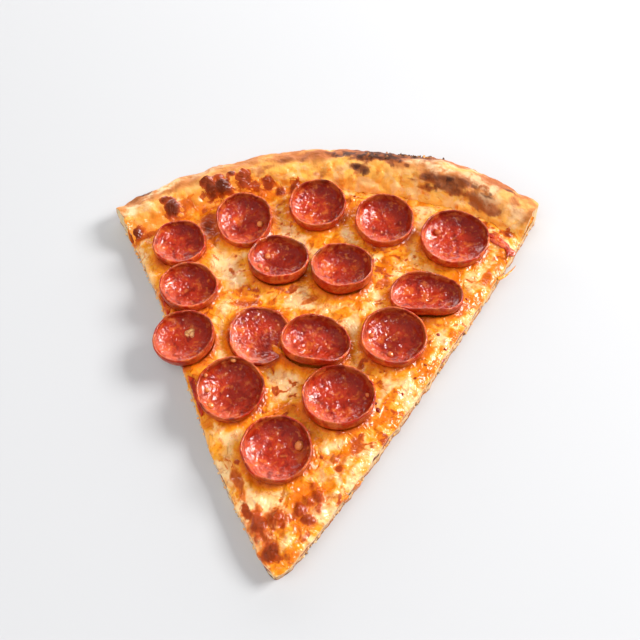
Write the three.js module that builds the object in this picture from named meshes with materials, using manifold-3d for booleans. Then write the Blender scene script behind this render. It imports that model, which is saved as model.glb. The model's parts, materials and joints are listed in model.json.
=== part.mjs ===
// One slice of pepperoni pizza, a sixth of a pie about 400 mm across, lying flat.
//
// Units are millimetres and +Z is up. The slice is laid out from its tip, with its middle line
// along +Y towards the rim. At the end it is moved so that the origin is the middle of the
// underside of its box.
//
// From the bottom up it is dough with a raised rim, a thin layer of tomato sauce, melted cheese,
// and pepperoni. Whole slices of pepperoni have curled into cups. Offcuts are what the pizza
// wheel left on this slice of pepperoni that lay across a cut.

import * as THREE from "three";
import { mergeVertices } from "three/addons/utils/BufferGeometryUtils.js";
import Module from "manifold-3d";

const wasm = await Module();
wasm.setup();

// ---- Driving dimensions ----

// The two cuts: their bearings in degrees from the middle line. The left one swings out near the
// tip and in near the rim. The right one bows outwards, and the bow is flatter the smaller its
// exponent. The wheel leaves the tip this wide.
const LEFT_BEARING = -29.2;
const RIGHT_BEARING = 28.9;
const LEFT_SWING = 2.3;
const RIGHT_BOW = 4.4;
const BOW_EXPONENT = 0.5;
const TIP_WIDTH = 3;

// The rim's outer edge is an arc. The pie was stretched by hand, so its centre isn't the tip.
const ARC_CENTRE = new THREE.Vector2(19, 40.5);
const ARC_RADIUS = 169;

// The dough's cross-section, and the rim's height at even steps from the left cut to the right.
const BASE_THICKNESS = 4.2;
const RIM_WIDTH = 28;
const CROWN_INSET = 10.5; // from the rim's outer edge in to its highest line
const HEEL_INSET = 6; // from the rim's outer edge in to where its underside lifts off
const EDGE_HEIGHT_SHARE = 0.42; // height of the outermost line, as a share of the rim's
const EDGE_BAND = 1; // height of the narrow band along that line
const RIM_HEIGHTS = [12, 14.5, 16.5, 18, 19.5, 13.5];

// The layers on the dough. Each lies a hair above the one below it.
const LAYER_GAP = 0.3;
const SAUCE_THICKNESS = 1;
const CHEESE_THICKNESS = 3;
const CHEESE_EDGE_THICKNESS = 0.9; // where it thins out on the rim's inner slope
const CHEESE_SWELL = 0.35; // height of the slow waves in the cheese
const CHEESE_SWELL_LENGTH = 34;

// Pepperoni: every slice was cut to one thickness. Half of a cup's section is a quarter of a
// superellipse: a broad floor that turns up into a steep wall.
const PEPPERONI_THICKNESS = 1.8;
const CUP_SQUARENESS = 3.5; // the superellipse's exponent
const CUP_SINK = 1.4; // how deep a cup's foot sits in the cheese
const CUP_SIDES = 20;
const OFFCUT_SIDES = 24;
const SECTION_TURNS = [0, 40, 65, 90]; // degrees round the section, from the axis to the rim
const POINT_SPREAD = 30; // degrees round the rim over which a pulled-out point fades

// Each cup: the middle of its rim from the tip, its width and length there, and its depth.
// It may open towards a bearing by tilt degrees, be lifted by a neighbour that it rests on, have
// a point pulled out of its rim, or be folded, so that its walls rise on both sides of a bearing.
const CUPS = [
  { at: [-60, 144], size: [25, 24.5], depth: 6, tilt: 3, opens: 200 },
  { at: [-32.5, 159.5], size: [27, 28], depth: 7, tilt: 9, opens: 190, point: [170, 0.07] },
  { at: [0.5, 171], size: [27.5, 27.5], depth: 7.5, tilt: 5, opens: 185 },
  { at: [32, 164.5], size: [28, 28], depth: 7.5, tilt: 5, opens: 175 },
  { at: [64, 157], size: [31, 31], depth: 7, tilt: 2, opens: 210, point: [95, 0.07] },
  { at: [-14, 138], size: [28, 26], depth: 8, tilt: 6, opens: 5 },
  { at: [14.5, 135.5], size: [28.5, 26.5], depth: 8.5, tilt: 5, opens: -10 },
  { at: [-51.5, 120], size: [26.5, 24.5], depth: 7, tilt: 3, opens: 120 },
  { at: [52, 125.5], size: [33, 23], depth: 6, tilt: 6, opens: -20, point: [95, 0.06], fold: [80, 0.25] },
  { at: [39, 101.5], size: [29, 28], depth: 7.5, tilt: 4, opens: 180 },
  { at: [-49.5, 94], size: [27, 26.5], depth: 6.5, tilt: 7, opens: 250 },
  { at: [-17.5, 99], size: [28, 29], depth: 3.2, tilt: 7, opens: 110 },
  { at: [6.5, 95.5], size: [31, 24], depth: 7, tilt: 7, opens: 70, lift: 2.2, fold: [85, 0.25] },
  { at: [-26, 70.5], size: [28.5, 28.5], depth: 7.5, tilt: 7, opens: 185 },
  { at: [18, 71], size: [31, 29], depth: 8, tilt: 4, opens: -10 },
  { at: [-4.5, 46], size: [29, 29], depth: 7, tilt: 2, opens: 180 },
];

// Each offcut is a flat disc that the nearer cut has clipped: its middle, radius and height
// above the dough. Where cheese has run over it, what shows is the crescent left by shifting the
// disc by covered and taking that away.
const OFFCUTS = [
  { at: [78.5, 152.8], radius: 12, rise: 4.4, covered: [-1.9, -1.9] },
  { at: [-65.5, 110.5], radius: 7, rise: 3.2 },
  { at: [-49, 65.5], radius: 13.5, rise: 3.4 },
];

// ---- The slice's plan and cross-section ----

const { lerp, degToRad } = THREE.MathUtils;

// From the tip to the rim's outer edge, along a bearing in degrees.
function reach(bearing) {
  const towards = new THREE.Vector2(Math.sin(degToRad(bearing)), Math.cos(degToRad(bearing)));
  const along = towards.dot(ARC_CENTRE);
  const aside = towards.cross(ARC_CENTRE);
  return along + Math.sqrt(ARC_RADIUS ** 2 - aside ** 2);
}

// The point on the plan at a share across the slice, from the left cut to the right, and a
// distance from the tip.
function planPoint(across, distance) {
  const bearing = lerp(LEFT_BEARING, RIGHT_BEARING, across);
  const turn = (Math.PI * distance) / reach(bearing);
  const left = -TIP_WIDTH / 2 - LEFT_SWING * Math.sin(2 * turn);
  const right = TIP_WIDTH / 2 + RIGHT_BOW * Math.max(Math.sin(turn), 0) ** BOW_EXPONENT;
  const aside = lerp(left, right, across);
  const angle = degToRad(bearing);
  return new THREE.Vector2(
    distance * Math.sin(angle) + aside * Math.cos(angle),
    distance * Math.cos(angle) - aside * Math.sin(angle),
  );
}

// The rim's height at a share across the slice.
function rimHeight(across) {
  const place = across * (RIM_HEIGHTS.length - 1);
  const before = Math.min(Math.floor(place), RIM_HEIGHTS.length - 2);
  const share = THREE.MathUtils.smoothstep(place - before, 0, 1);
  return lerp(RIM_HEIGHTS[before], RIM_HEIGHTS[before + 1], share);
}

// The height of the dough's inner slope, at a distance in from the rim's outer edge.
function slopeHeight(across, inset) {
  const share = (RIM_WIDTH - inset) / (RIM_WIDTH - CROWN_INSET);
  const rise = (1 - Math.cos(Math.PI * THREE.MathUtils.clamp(share, 0, 1))) / 2;
  return BASE_THICKNESS + (rimHeight(across) - BASE_THICKNESS) * rise;
}

// ---- The layers ----

// All layers share these steps, so that each lies evenly on the one below.
const COLUMNS = 15;
const BASE_ROWS = 11;
const SLOPE_ROWS = 6; // up the rim's inner slope, from its foot to its crown
const EDGE_ROWS = 5; // from the crown over to the outermost line
const SAUCE_SLOPE_ROWS = 2; // how far up the slope the sauce was spread
const CHEESE_SLOPE_ROWS = 3;

// A closed layer: a box whose grid is moved to where place(across, row, upward) says.
function layer(rows, decks, place) {
  const box = new THREE.BoxGeometry(1, 1, 1, COLUMNS, rows, decks);
  const points = box.attributes.position;
  for (let i = 0; i < points.count; i++) {
    const across = points.getX(i) + 0.5;
    const row = Math.round((points.getY(i) + 0.5) * rows);
    const { x, y, z } = place(across, row, points.getZ(i) + 0.5);
    points.setXYZ(i, x, y, z);
  }
  return box;
}

// The inset from the outer edge of a row on the rim's inner slope.
function slopeInset(row) {
  return lerp(RIM_WIDTH, CROWN_INSET, (row - BASE_ROWS) / SLOPE_ROWS);
}

// The distance from the tip of a row at or below the crown.
function rowDistance(across, row) {
  const edge = reach(lerp(LEFT_BEARING, RIGHT_BEARING, across));
  if (row <= BASE_ROWS) return ((edge - RIM_WIDTH) * row) / BASE_ROWS;
  return edge - slopeInset(row);
}

// The dough's top at a row at or below the crown.
function doughTop(across, row) {
  return row <= BASE_ROWS ? BASE_THICKNESS : slopeHeight(across, slopeInset(row));
}

// The dough: flat under the toppings, then up over the rim's crown and down to its outermost
// line. The underside runs flat to the heel, and curves up to the same line.
function doughPoint(across, row, upward) {
  const edge = reach(lerp(LEFT_BEARING, RIGHT_BEARING, across));
  const edgeHeight = rimHeight(across) * EDGE_HEIGHT_SHARE;
  const crownRow = BASE_ROWS + SLOPE_ROWS;
  const under = new THREE.Vector2(rowDistance(across, Math.min(row, crownRow)), 0);
  const over = new THREE.Vector2(under.x, doughTop(across, Math.min(row, crownRow)));
  if (row > crownRow) {
    const turn = ((row - crownRow) / EDGE_ROWS) * (Math.PI / 2);
    const overEdge = edgeHeight + EDGE_BAND / 2;
    over.x = edge - CROWN_INSET * (1 - Math.sin(turn));
    over.y = overEdge + (rimHeight(across) - overEdge) * Math.cos(turn);
    under.x = edge - HEEL_INSET * (1 - Math.sin(turn));
    under.y = (edgeHeight - EDGE_BAND / 2) * (1 - Math.cos(turn));
  }
  const plan = planPoint(across, lerp(under.x, over.x, upward));
  return new THREE.Vector3(plan.x, plan.y, lerp(under.y, over.y, upward));
}

function doughGeometry() {
  return layer(BASE_ROWS + SLOPE_ROWS + EDGE_ROWS, 2, doughPoint);
}

function sauceGeometry() {
  return layer(BASE_ROWS + SAUCE_SLOPE_ROWS, 1, (across, row, upward) => {
    const plan = planPoint(across, rowDistance(across, row));
    const floor = doughTop(across, row) + LAYER_GAP;
    return new THREE.Vector3(plan.x, plan.y, floor + SAUCE_THICKNESS * upward);
  });
}

function cheeseGeometry() {
  const lastRow = BASE_ROWS + CHEESE_SLOPE_ROWS;
  return layer(lastRow, 1, (across, row, upward) => {
    const plan = planPoint(across, rowDistance(across, row));
    const onSauce = row <= BASE_ROWS + SAUCE_SLOPE_ROWS;
    const floor = doughTop(across, row) + LAYER_GAP + (onSauce ? SAUCE_THICKNESS + LAYER_GAP : 0);
    const turn = (2 * Math.PI) / CHEESE_SWELL_LENGTH;
    const swell = CHEESE_SWELL * Math.sin(plan.x * turn) * Math.sin(plan.y * turn);
    const thinning = THREE.MathUtils.smoothstep(row, BASE_ROWS, lastRow);
    const thickness = lerp(CHEESE_THICKNESS + swell, CHEESE_EDGE_THICKNESS, thinning);
    return new THREE.Vector3(plan.x, plan.y, floor + thickness * upward);
  });
}

const SAUCE_TOP = BASE_THICKNESS + LAYER_GAP + SAUCE_THICKNESS;
const CHEESE_TOP = SAUCE_TOP + LAYER_GAP + CHEESE_THICKNESS;

// ---- Solids, cut and joined ----

function solidOf(geometry) {
  const bare = geometry.clone();
  bare.deleteAttribute("normal");
  bare.deleteAttribute("uv");
  const merged = mergeVertices(bare, 1e-3);
  return new wasm.Manifold(
    new wasm.Mesh({
      numProp: 3,
      vertProperties: merged.attributes.position.array,
      triVerts: new Uint32Array(merged.index.array),
    }),
  );
}

function geometryOf(solid) {
  const { vertProperties, triVerts } = solid.getMesh();
  const geometry = new THREE.BufferGeometry();
  geometry.setAttribute("position", new THREE.BufferAttribute(vertProperties, 3));
  geometry.setIndex(new THREE.BufferAttribute(triVerts, 1));
  geometry.computeVertexNormals();
  return geometry;
}

// ---- Pepperoni ----

// A point of a cup's section, as [distance from its axis, height], at a turn in degrees round
// it, offset square to the wall by a share of the thickness: 0.5 is inside, -0.5 underneath.
function sectionPoint(cup, turn, offset) {
  const radius = cup.size[0] / 2 - PEPPERONI_THICKNESS / 2;
  const power = 2 / CUP_SQUARENESS;
  const [sine, cosine] = [Math.sin(degToRad(turn)), Math.cos(degToRad(turn))];
  const run = radius * sine ** power;
  const rise = cup.depth * (1 - Math.max(cosine, 0) ** power);
  const slant = Math.atan2(cup.depth * sine ** (2 - power), radius * Math.max(cosine, 0) ** (2 - power));
  const away = PEPPERONI_THICKNESS * offset;
  return new THREE.Vector2(
    run - away * Math.sin(slant),
    rise + away * Math.cos(slant) + PEPPERONI_THICKNESS / 2,
  );
}

// Turns a section round the cup's axis, then makes it as long, pointed and folded as the cup is.
function turned(cup, section) {
  const geometry = new THREE.LatheGeometry(section, CUP_SIDES).rotateX(Math.PI / 2);
  const points = geometry.attributes.position;
  const radius = cup.size[0] / 2;
  for (let i = 0; i < points.count; i++) {
    const x = points.getX(i);
    const y = points.getY(i);
    const bearing = THREE.MathUtils.radToDeg(Math.atan2(x, y));
    const share = Math.min(Math.hypot(x, y) / radius, 1);
    let pull = 1;
    let lift = 0;
    if (cup.point) {
      const turn = Math.abs(bearing - cup.point[0]);
      const away = Math.min(turn, 360 - turn) / POINT_SPREAD;
      pull += cup.point[1] * share * Math.exp(-away * away);
    }
    if (cup.fold) {
      const across = 2 * degToRad(bearing - cup.fold[0]);
      lift = -cup.depth * share ** 2 * cup.fold[1] * Math.cos(across);
    }
    points.setXYZ(i, x * pull, (y * pull * cup.size[1]) / cup.size[0], points.getZ(i) + lift);
  }
  return geometry;
}

function cupGeometry(cup) {
  const underside = SECTION_TURNS.map((turn) => sectionPoint(cup, turn, -0.5));
  const inside = SECTION_TURNS.map((turn) => sectionPoint(cup, turn, 0.5));
  return turned(cup, [...underside, ...inside.reverse()]);
}

// What a cup presses out of the cheese: its underside with a gap, and all that is above it.
function seatGeometry(cup) {
  const gap = LAYER_GAP / PEPPERONI_THICKNESS;
  const underside = SECTION_TURNS.map((turn) => sectionPoint(cup, turn, -0.5 - gap));
  const brim = underside.at(-1);
  const above = brim.y + CHEESE_TOP;
  return turned(cup, [...underside, new THREE.Vector2(brim.x, above), new THREE.Vector2(0, above)]);
}

// The cup as a mesh in its place: its foot sunk into the cheese, its rim's middle at cup.at.
function cupMesh(cup, name) {
  const mesh = new THREE.Mesh(cupGeometry(cup), pepperoniMaterial);
  const opens = degToRad(cup.opens);
  const tilt = degToRad(cup.tilt);
  const towards = new THREE.Vector3(Math.sin(opens), Math.cos(opens), 0);
  const hinge = new THREE.Vector3(-Math.cos(opens), Math.sin(opens), 0);
  mesh.quaternion.setFromAxisAngle(hinge, tilt);
  mesh.position.set(cup.at[0], cup.at[1], CHEESE_TOP - CUP_SINK + (cup.lift ?? 0));
  mesh.position.addScaledVector(towards, -cup.depth * Math.sin(tilt));
  mesh.updateMatrix();
  mesh.name = name;
  return mesh;
}

// A flat disc of pepperoni at a height above the dough, grown all round by a gap.
function discSolid([x, y], radius, rise, gap) {
  const height = PEPPERONI_THICKNESS + 2 * gap;
  const disc = new THREE.CylinderGeometry(radius + gap, radius + gap, height, OFFCUT_SIDES);
  disc.rotateX(Math.PI / 2);
  return solidOf(disc.translate(x, y, BASE_THICKNESS + rise + PEPPERONI_THICKNESS / 2));
}

// An offcut before the cut clips it. With a gap it is the seat that the offcut needs.
function offcutSolid({ at, radius, rise, covered }, gap) {
  const disc = discSolid(at, radius, rise, gap);
  if (!covered) return disc;
  const cover = new THREE.CylinderGeometry(1, 1, 2 * CHEESE_TOP, OFFCUT_SIDES).rotateX(Math.PI / 2);
  cover.scale(radius - gap, radius - gap, 1);
  return disc.subtract(solidOf(cover.translate(at[0] + covered[0], at[1] + covered[1], CHEESE_TOP)));
}

// ---- Assembly ----

const doughMaterial = new THREE.MeshStandardMaterial({ color: 0xd9a35c, roughness: 0.75, metalness: 0 });
const sauceMaterial = new THREE.MeshStandardMaterial({ color: 0xa32a12, roughness: 0.45, metalness: 0 });
const cheeseMaterial = new THREE.MeshStandardMaterial({ color: 0xf0b95a, roughness: 0.35, metalness: 0 });
const pepperoniMaterial = new THREE.MeshStandardMaterial({ color: 0xa82a1a, roughness: 0.3, metalness: 0 });

function named(geometry, material, name) {
  const mesh = new THREE.Mesh(geometry, material);
  mesh.name = name;
  return mesh;
}

const slice = new THREE.Group();
slice.add(named(doughGeometry(), doughMaterial, "dough"));
slice.add(named(sauceGeometry(), sauceMaterial, "sauce"));

let cheese = solidOf(cheeseGeometry());
const seats = CUPS.map((cup, i) => {
  const mesh = cupMesh(cup, `pepperoni_cup_${String(i + 1).padStart(2, "0")}`);
  const seat = solidOf(seatGeometry(cup).applyMatrix4(mesh.matrix));
  cheese = cheese.subtract(seat);
  slice.add(mesh);
  return seat;
});

// The wedge between the two cuts clips the offcuts, and a cup that reaches over one presses
// into it.
const wedge = solidOf(
  layer(BASE_ROWS + SLOPE_ROWS, 1, (across, row, upward) => {
    const plan = planPoint(across, rowDistance(across, row));
    return new THREE.Vector3(plan.x, plan.y, 2 * CHEESE_TOP * upward);
  }),
);
OFFCUTS.forEach((offcut, i) => {
  cheese = cheese.subtract(offcutSolid(offcut, LAYER_GAP));
  const clipped = offcutSolid(offcut, 0).intersect(wedge);
  const left = seats.reduce((solid, seat) => solid.subtract(seat), clipped);
  slice.add(named(geometryOf(left), pepperoniMaterial, `pepperoni_offcut_${i + 1}`));
});
slice.add(named(geometryOf(cheese), cheeseMaterial, "cheese"));

// The origin goes to the middle of the underside of the box.
const box = new THREE.Box3().setFromObject(slice);
const middle = box.getCenter(new THREE.Vector3());
slice.position.set(-middle.x, -middle.y, -box.min.z);

export default slice;
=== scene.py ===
"""A slice of pepperoni pizza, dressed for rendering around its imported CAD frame.

The slice lies flat, its tip towards the viewer and its rim away. All sizes in the classes are
millimetres in the frame's axes. Meshes are made in metres.
"""

from __future__ import annotations

import json
import logging
import math
from dataclasses import dataclass, field
from enum import Enum
from functools import reduce
from itertools import product

import bmesh
import bpy
import numpy as np
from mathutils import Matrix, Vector

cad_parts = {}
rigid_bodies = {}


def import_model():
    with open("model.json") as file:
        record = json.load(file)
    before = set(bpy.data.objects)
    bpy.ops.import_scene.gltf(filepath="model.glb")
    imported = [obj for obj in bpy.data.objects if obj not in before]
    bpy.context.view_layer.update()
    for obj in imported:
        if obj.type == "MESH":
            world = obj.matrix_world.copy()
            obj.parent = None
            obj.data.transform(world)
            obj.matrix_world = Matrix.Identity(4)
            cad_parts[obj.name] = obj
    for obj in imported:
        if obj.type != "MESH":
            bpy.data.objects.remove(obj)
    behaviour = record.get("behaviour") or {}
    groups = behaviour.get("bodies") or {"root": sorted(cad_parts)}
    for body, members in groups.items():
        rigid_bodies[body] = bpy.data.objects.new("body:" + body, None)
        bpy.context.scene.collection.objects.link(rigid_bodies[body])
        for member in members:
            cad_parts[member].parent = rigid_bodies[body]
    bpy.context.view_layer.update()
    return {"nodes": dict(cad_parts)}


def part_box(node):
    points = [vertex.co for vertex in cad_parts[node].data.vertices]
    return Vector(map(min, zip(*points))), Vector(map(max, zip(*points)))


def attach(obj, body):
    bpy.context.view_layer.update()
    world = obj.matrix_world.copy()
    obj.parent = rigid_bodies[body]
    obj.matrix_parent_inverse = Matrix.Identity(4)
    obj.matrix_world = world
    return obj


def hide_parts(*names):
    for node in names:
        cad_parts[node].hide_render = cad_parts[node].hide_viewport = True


MM = 0.001  # in metres
ABOVE_ALL = 60.0  # a height that is clear of the whole slice
LOG = logging.getLogger("pizza_slice")
Array = np.ndarray
Marks = dict[str, np.ndarray]
Material = bpy.types.Material
Socket = bpy.types.NodeSocket


# ---- Numbers ----


def linear(colour: str) -> tuple[float, ...]:
    """An sRGB hex colour as linear red, green, blue and an alpha of 1."""
    channels = [int(colour[i : i + 2], 16) / 255 for i in (1, 3, 5)]
    curve = [c / 12.92 if c <= 0.04045 else ((c + 0.055) / 1.055) ** 2.4 for c in channels]
    return (*curve, 1.0)


def mix(first: Array, second: Array, share: Array) -> Array:
    """The values that lie a share of the way from the first to the second."""
    return first + (second - first) * share


def smoothstep(low: float, high: float, value: Array) -> Array:
    """0 at low and 1 at high, with a smooth turn between them."""
    share = np.clip((value - low) / (high - low), 0, 1)
    return share * share * (3 - 2 * share)


def listed(kind: type, *values: tuple) -> tuple:
    """One instance of a class for each row of its fields' values."""
    return tuple(kind(*row) for row in values)


class Noise:
    """Smooth noise in space, the same on every run."""

    def __init__(self, seed: int) -> None:
        """Draws the lattice's gradients."""
        draw = np.random.default_rng(seed)
        order = draw.permutation(256)
        self.order = np.concatenate([order, order])
        gradients = draw.normal(size=(256, 3))
        self.gradients = gradients / np.linalg.norm(gradients, axis=1, keepdims=True)

    def at(self, points: Array, size: float) -> Array:
        """Gradient noise of about -1 to 1.

        Args:
            points: places in millimetres, with x, y and z along the last axis.
            size: the distance in millimetres over which the noise changes.

        Returns:
            One value for each point.
        """
        scaled = points / size
        corner = np.floor(scaled).astype(int)
        away = scaled - corner
        fade = away**3 * (away * (away * 6 - 15) + 10)
        total = np.zeros(points.shape[:-1])
        for step in product((0, 1), repeat=3):
            i, j, k = ((corner[..., axis] + step[axis]) & 255 for axis in range(3))
            index = self.order[self.order[self.order[i] + j] + k]
            weight = np.prod(np.where(np.array(step) == 1, fade, 1 - fade), axis=-1)
            total += weight * np.sum(self.gradients[index] * (away - np.array(step)), axis=-1)
        return total * 1.7

    def fractal(self, points: Array, size: float, octaves: int = 3) -> Array:
        """Gradient noise with finer and weaker noise added, one octave after another."""
        shares = 0.5 ** np.arange(octaves)
        layers = [self.at(points + 31.7 * n, size * 0.5**n) * share for n, share in enumerate(shares)]
        return sum(layers) / shares.sum() * 1.3


def xyz(x: Array, y: Array, z: Array | float = 0.0) -> Array:
    """Points with these x, y and z along the last axis."""
    return np.stack(np.broadcast_arrays(x, y, z), axis=-1)


def rotated(x: Array, y: Array, angle: float) -> tuple[Array, Array]:
    """The x and y of places that are turned anticlockwise, by an angle in radians."""
    return x * np.cos(angle) - y * np.sin(angle), x * np.sin(angle) + y * np.cos(angle)


def fading(distance: Array, reach: float | Array, power: float = 1.0) -> Array:
    """1 up to a distance of 0, then falling away smoothly over a reach."""
    return np.exp(-((np.maximum(distance, 0) / reach) ** power))


def raise_to(values: Array, near: Array, least: Array) -> None:
    """Brings the values at some places up to at least these, in place."""
    values[near] = np.maximum(values[near], least)


# ---- Meshes ----


@dataclass
class Patch:
    """A rectangular grid of points, with marks that the finishes read at each point.

    Attributes:
        points: places in millimetres, as rows by columns by 3.
        marks: for each mark's name, a value from 0 to 1 for each point.
        closed: whether the last column joins the first.
        flipped: whether the faces are turned to look the other way.
    """

    points: Array
    marks: Marks = field(default_factory=dict)
    closed: bool = False
    flipped: bool = False

    def faces(self, start: int) -> Array:
        """The grid's four-sided faces, its points being numbered from start."""
        rows, columns = self.points.shape[:2]
        index = np.arange(rows * columns).reshape(rows, columns) + start
        if self.closed:
            index = np.concatenate([index, index[:, :1]], axis=1)
        corners = [index[:-1, :-1], index[:-1, 1:], index[1:, 1:], index[1:, :-1]]
        order = corners[::-1] if self.flipped else corners
        return np.stack(order, axis=-1).reshape(-1, 4)


def make_object(
    name: str, patches: list[Patch], material: Material, weld: bool = False
) -> bpy.types.Object:
    """Makes one smooth object of patches.

    Args:
        name: the piece's name.
        patches: its grids, which keep sharp edges where they meet.
        material: its finish.
        weld: whether points in the same place are joined into one.

    Returns:
        The object, in metres, linked to the scene.
    """
    mesh = bpy.data.meshes.new(name)
    starts = np.cumsum([0, *(p.points.shape[0] * p.points.shape[1] for p in patches)])
    points = np.concatenate([p.points.reshape(-1, 3) for p in patches]) * MM
    faces = np.concatenate([p.faces(start) for p, start in zip(patches, starts)])
    mesh.from_pydata(points.tolist(), [], faces.tolist())
    for mark in sorted({m for p in patches for m in p.marks}):
        blank = [p.marks.get(mark, np.zeros(p.points.shape[:2])).ravel() for p in patches]
        attribute = mesh.attributes.new(mark, "FLOAT", "POINT")
        attribute.data.foreach_set("value", np.concatenate(blank).astype(np.float32))
    if weld:
        form = bmesh.new()
        form.from_mesh(mesh)
        bmesh.ops.remove_doubles(form, verts=form.verts, dist=0.01 * MM)
        form.to_mesh(mesh)
        form.free()
    mesh.shade_smooth()
    mesh.materials.append(material)
    made = bpy.data.objects.new(name, mesh)
    bpy.context.scene.collection.objects.link(made)
    return made


class Slot(Enum):
    """The record's material slots."""

    DOUGH = "dough"
    SAUCE = "sauce"
    CHEESE = "cheese"
    PEPPERONI = "pepperoni"


def settle(piece: bpy.types.Object, slot: Slot, *nodes: str) -> None:
    """Makes a finished piece part of the slice.

    Args:
        piece: the object, already in place.
        slot: the record's slot that its finish belongs to; not used.
        nodes: the CAD nodes that it stands for.
    """
    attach(piece, "root")
    if nodes:
        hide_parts(*nodes)
    LOG.info("%s: %d faces, stands for %s", piece.name, len(piece.data.polygons), nodes or "no node")


# ---- Finishes ----


def add(
    tree: bpy.types.NodeTree, kind: str, links: dict[str | int, object], **settings: object
) -> bpy.types.Node:
    """Adds a node.

    Args:
        tree: the material's node tree.
        kind: the node's type, without its ShaderNode prefix.
        links: for each input's name or number, the socket that feeds it, or its value.
        settings: the node's own properties.

    Returns:
        The node.
    """
    node = tree.nodes.new("ShaderNode" + kind)
    for name, value in settings.items():
        setattr(node, name, value)
    for name, value in links.items():
        if isinstance(value, Socket):
            tree.links.new(value, node.inputs[name])
        else:
            node.inputs[name].default_value = value
    return node


class Paint:
    """A material under construction: a colour that is laid over layer by layer."""

    def __init__(self, name: str, ground: str) -> None:
        """Starts a material with one even ground colour."""
        self.material = bpy.data.materials.new(name)
        self.material.use_nodes = True
        self.tree = self.material.node_tree
        self.tree.nodes.clear()
        self.places = add(self.tree, "TexCoord", {}).outputs["Object"]
        self.colour: object = linear(ground)

    def mark(self, name: str) -> Socket:
        """The socket that carries a mark of the mesh."""
        return add(self.tree, "Attribute", {}, attribute_name=name).outputs["Fac"]

    def noise(self, size: float, detail: float = 3, distortion: float = 0) -> Socket:
        """Noise from 0 to 1 that changes over a size in millimetres."""
        settings = {"Vector": self.places, "Scale": 1 / (size * MM)}
        settings.update({"Detail": detail, "Distortion": distortion})
        return add(self.tree, "TexNoise", settings).outputs["Fac"]

    def ramp(self, value: object, low: float, high: float) -> Socket:
        """0 where a value is under low, 1 where it is over high, and smooth between them."""
        ends = {"Value": value, "From Min": low, "From Max": high}
        return add(self.tree, "MapRange", ends, interpolation_type="SMOOTHSTEP").outputs["Result"]

    def ridge(self, value: object, middle: float, reach: float) -> Socket:
        """1 where a value is at the middle, falling to 0 a reach away from it."""
        return self.times(
            self.ramp(value, middle - reach, middle), self.ramp(value, middle + reach, middle)
        )

    def broken(self, name: str, noise: object) -> Socket:
        """A mark whose weaker places are broken up by a noise."""
        return self.math("ADD", self.times(self.mark(name), 0.7), self.times(noise, 0.4))

    def math(self, operation: str, first: object, second: object) -> Socket:
        """The result of one operation on two values, kept from 0 to 1."""
        node = add(self.tree, "Math", {0: first, 1: second}, operation=operation, use_clamp=True)
        return node.outputs["Value"]

    def times(self, *values: object) -> object:
        """The product of some values, each from 0 to 1."""
        return reduce(lambda first, second: self.math("MULTIPLY", first, second), values)

    def lay(self, colour: str, *shares: object) -> None:
        """Lays a colour over what is there, by the product of some shares at each place."""
        # The sockets that a Mix node of colours uses.
        factor, below, above, result = 0, 6, 7, 2
        links = {factor: self.times(*shares), below: self.colour, above: linear(colour)}
        self.colour = add(self.tree, "Mix", links, data_type="RGBA").outputs[result]

    def finish(self, roughness: object, relief: list[tuple[object, float]], **shader: object) -> Material:
        """Joins the colour and the rest to the shader.

        Args:
            roughness: a value, or the socket that gives it.
            relief: heights from 0 to 1, each with the millimetres that 1 stands for.
            shader: the shader's other settings, with _ for a blank in each name.

        Returns:
            The material.
        """
        links = {"Base Color": self.colour, "Roughness": roughness}
        links.update({name.replace("_", " "): value for name, value in shader.items()})
        normal = {}
        for height, depth in relief:
            bump = {"Height": height, "Distance": depth * MM, "Strength": 1.0, **normal}
            normal["Normal"] = add(self.tree, "Bump", bump).outputs["Normal"]
            links.update({"Normal": normal["Normal"], "Coat Normal": normal["Normal"]})
        surface = add(self.tree, "BsdfPrincipled", links)
        add(self.tree, "OutputMaterial", {"Surface": surface.outputs["BSDF"]})
        return self.material


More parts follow.
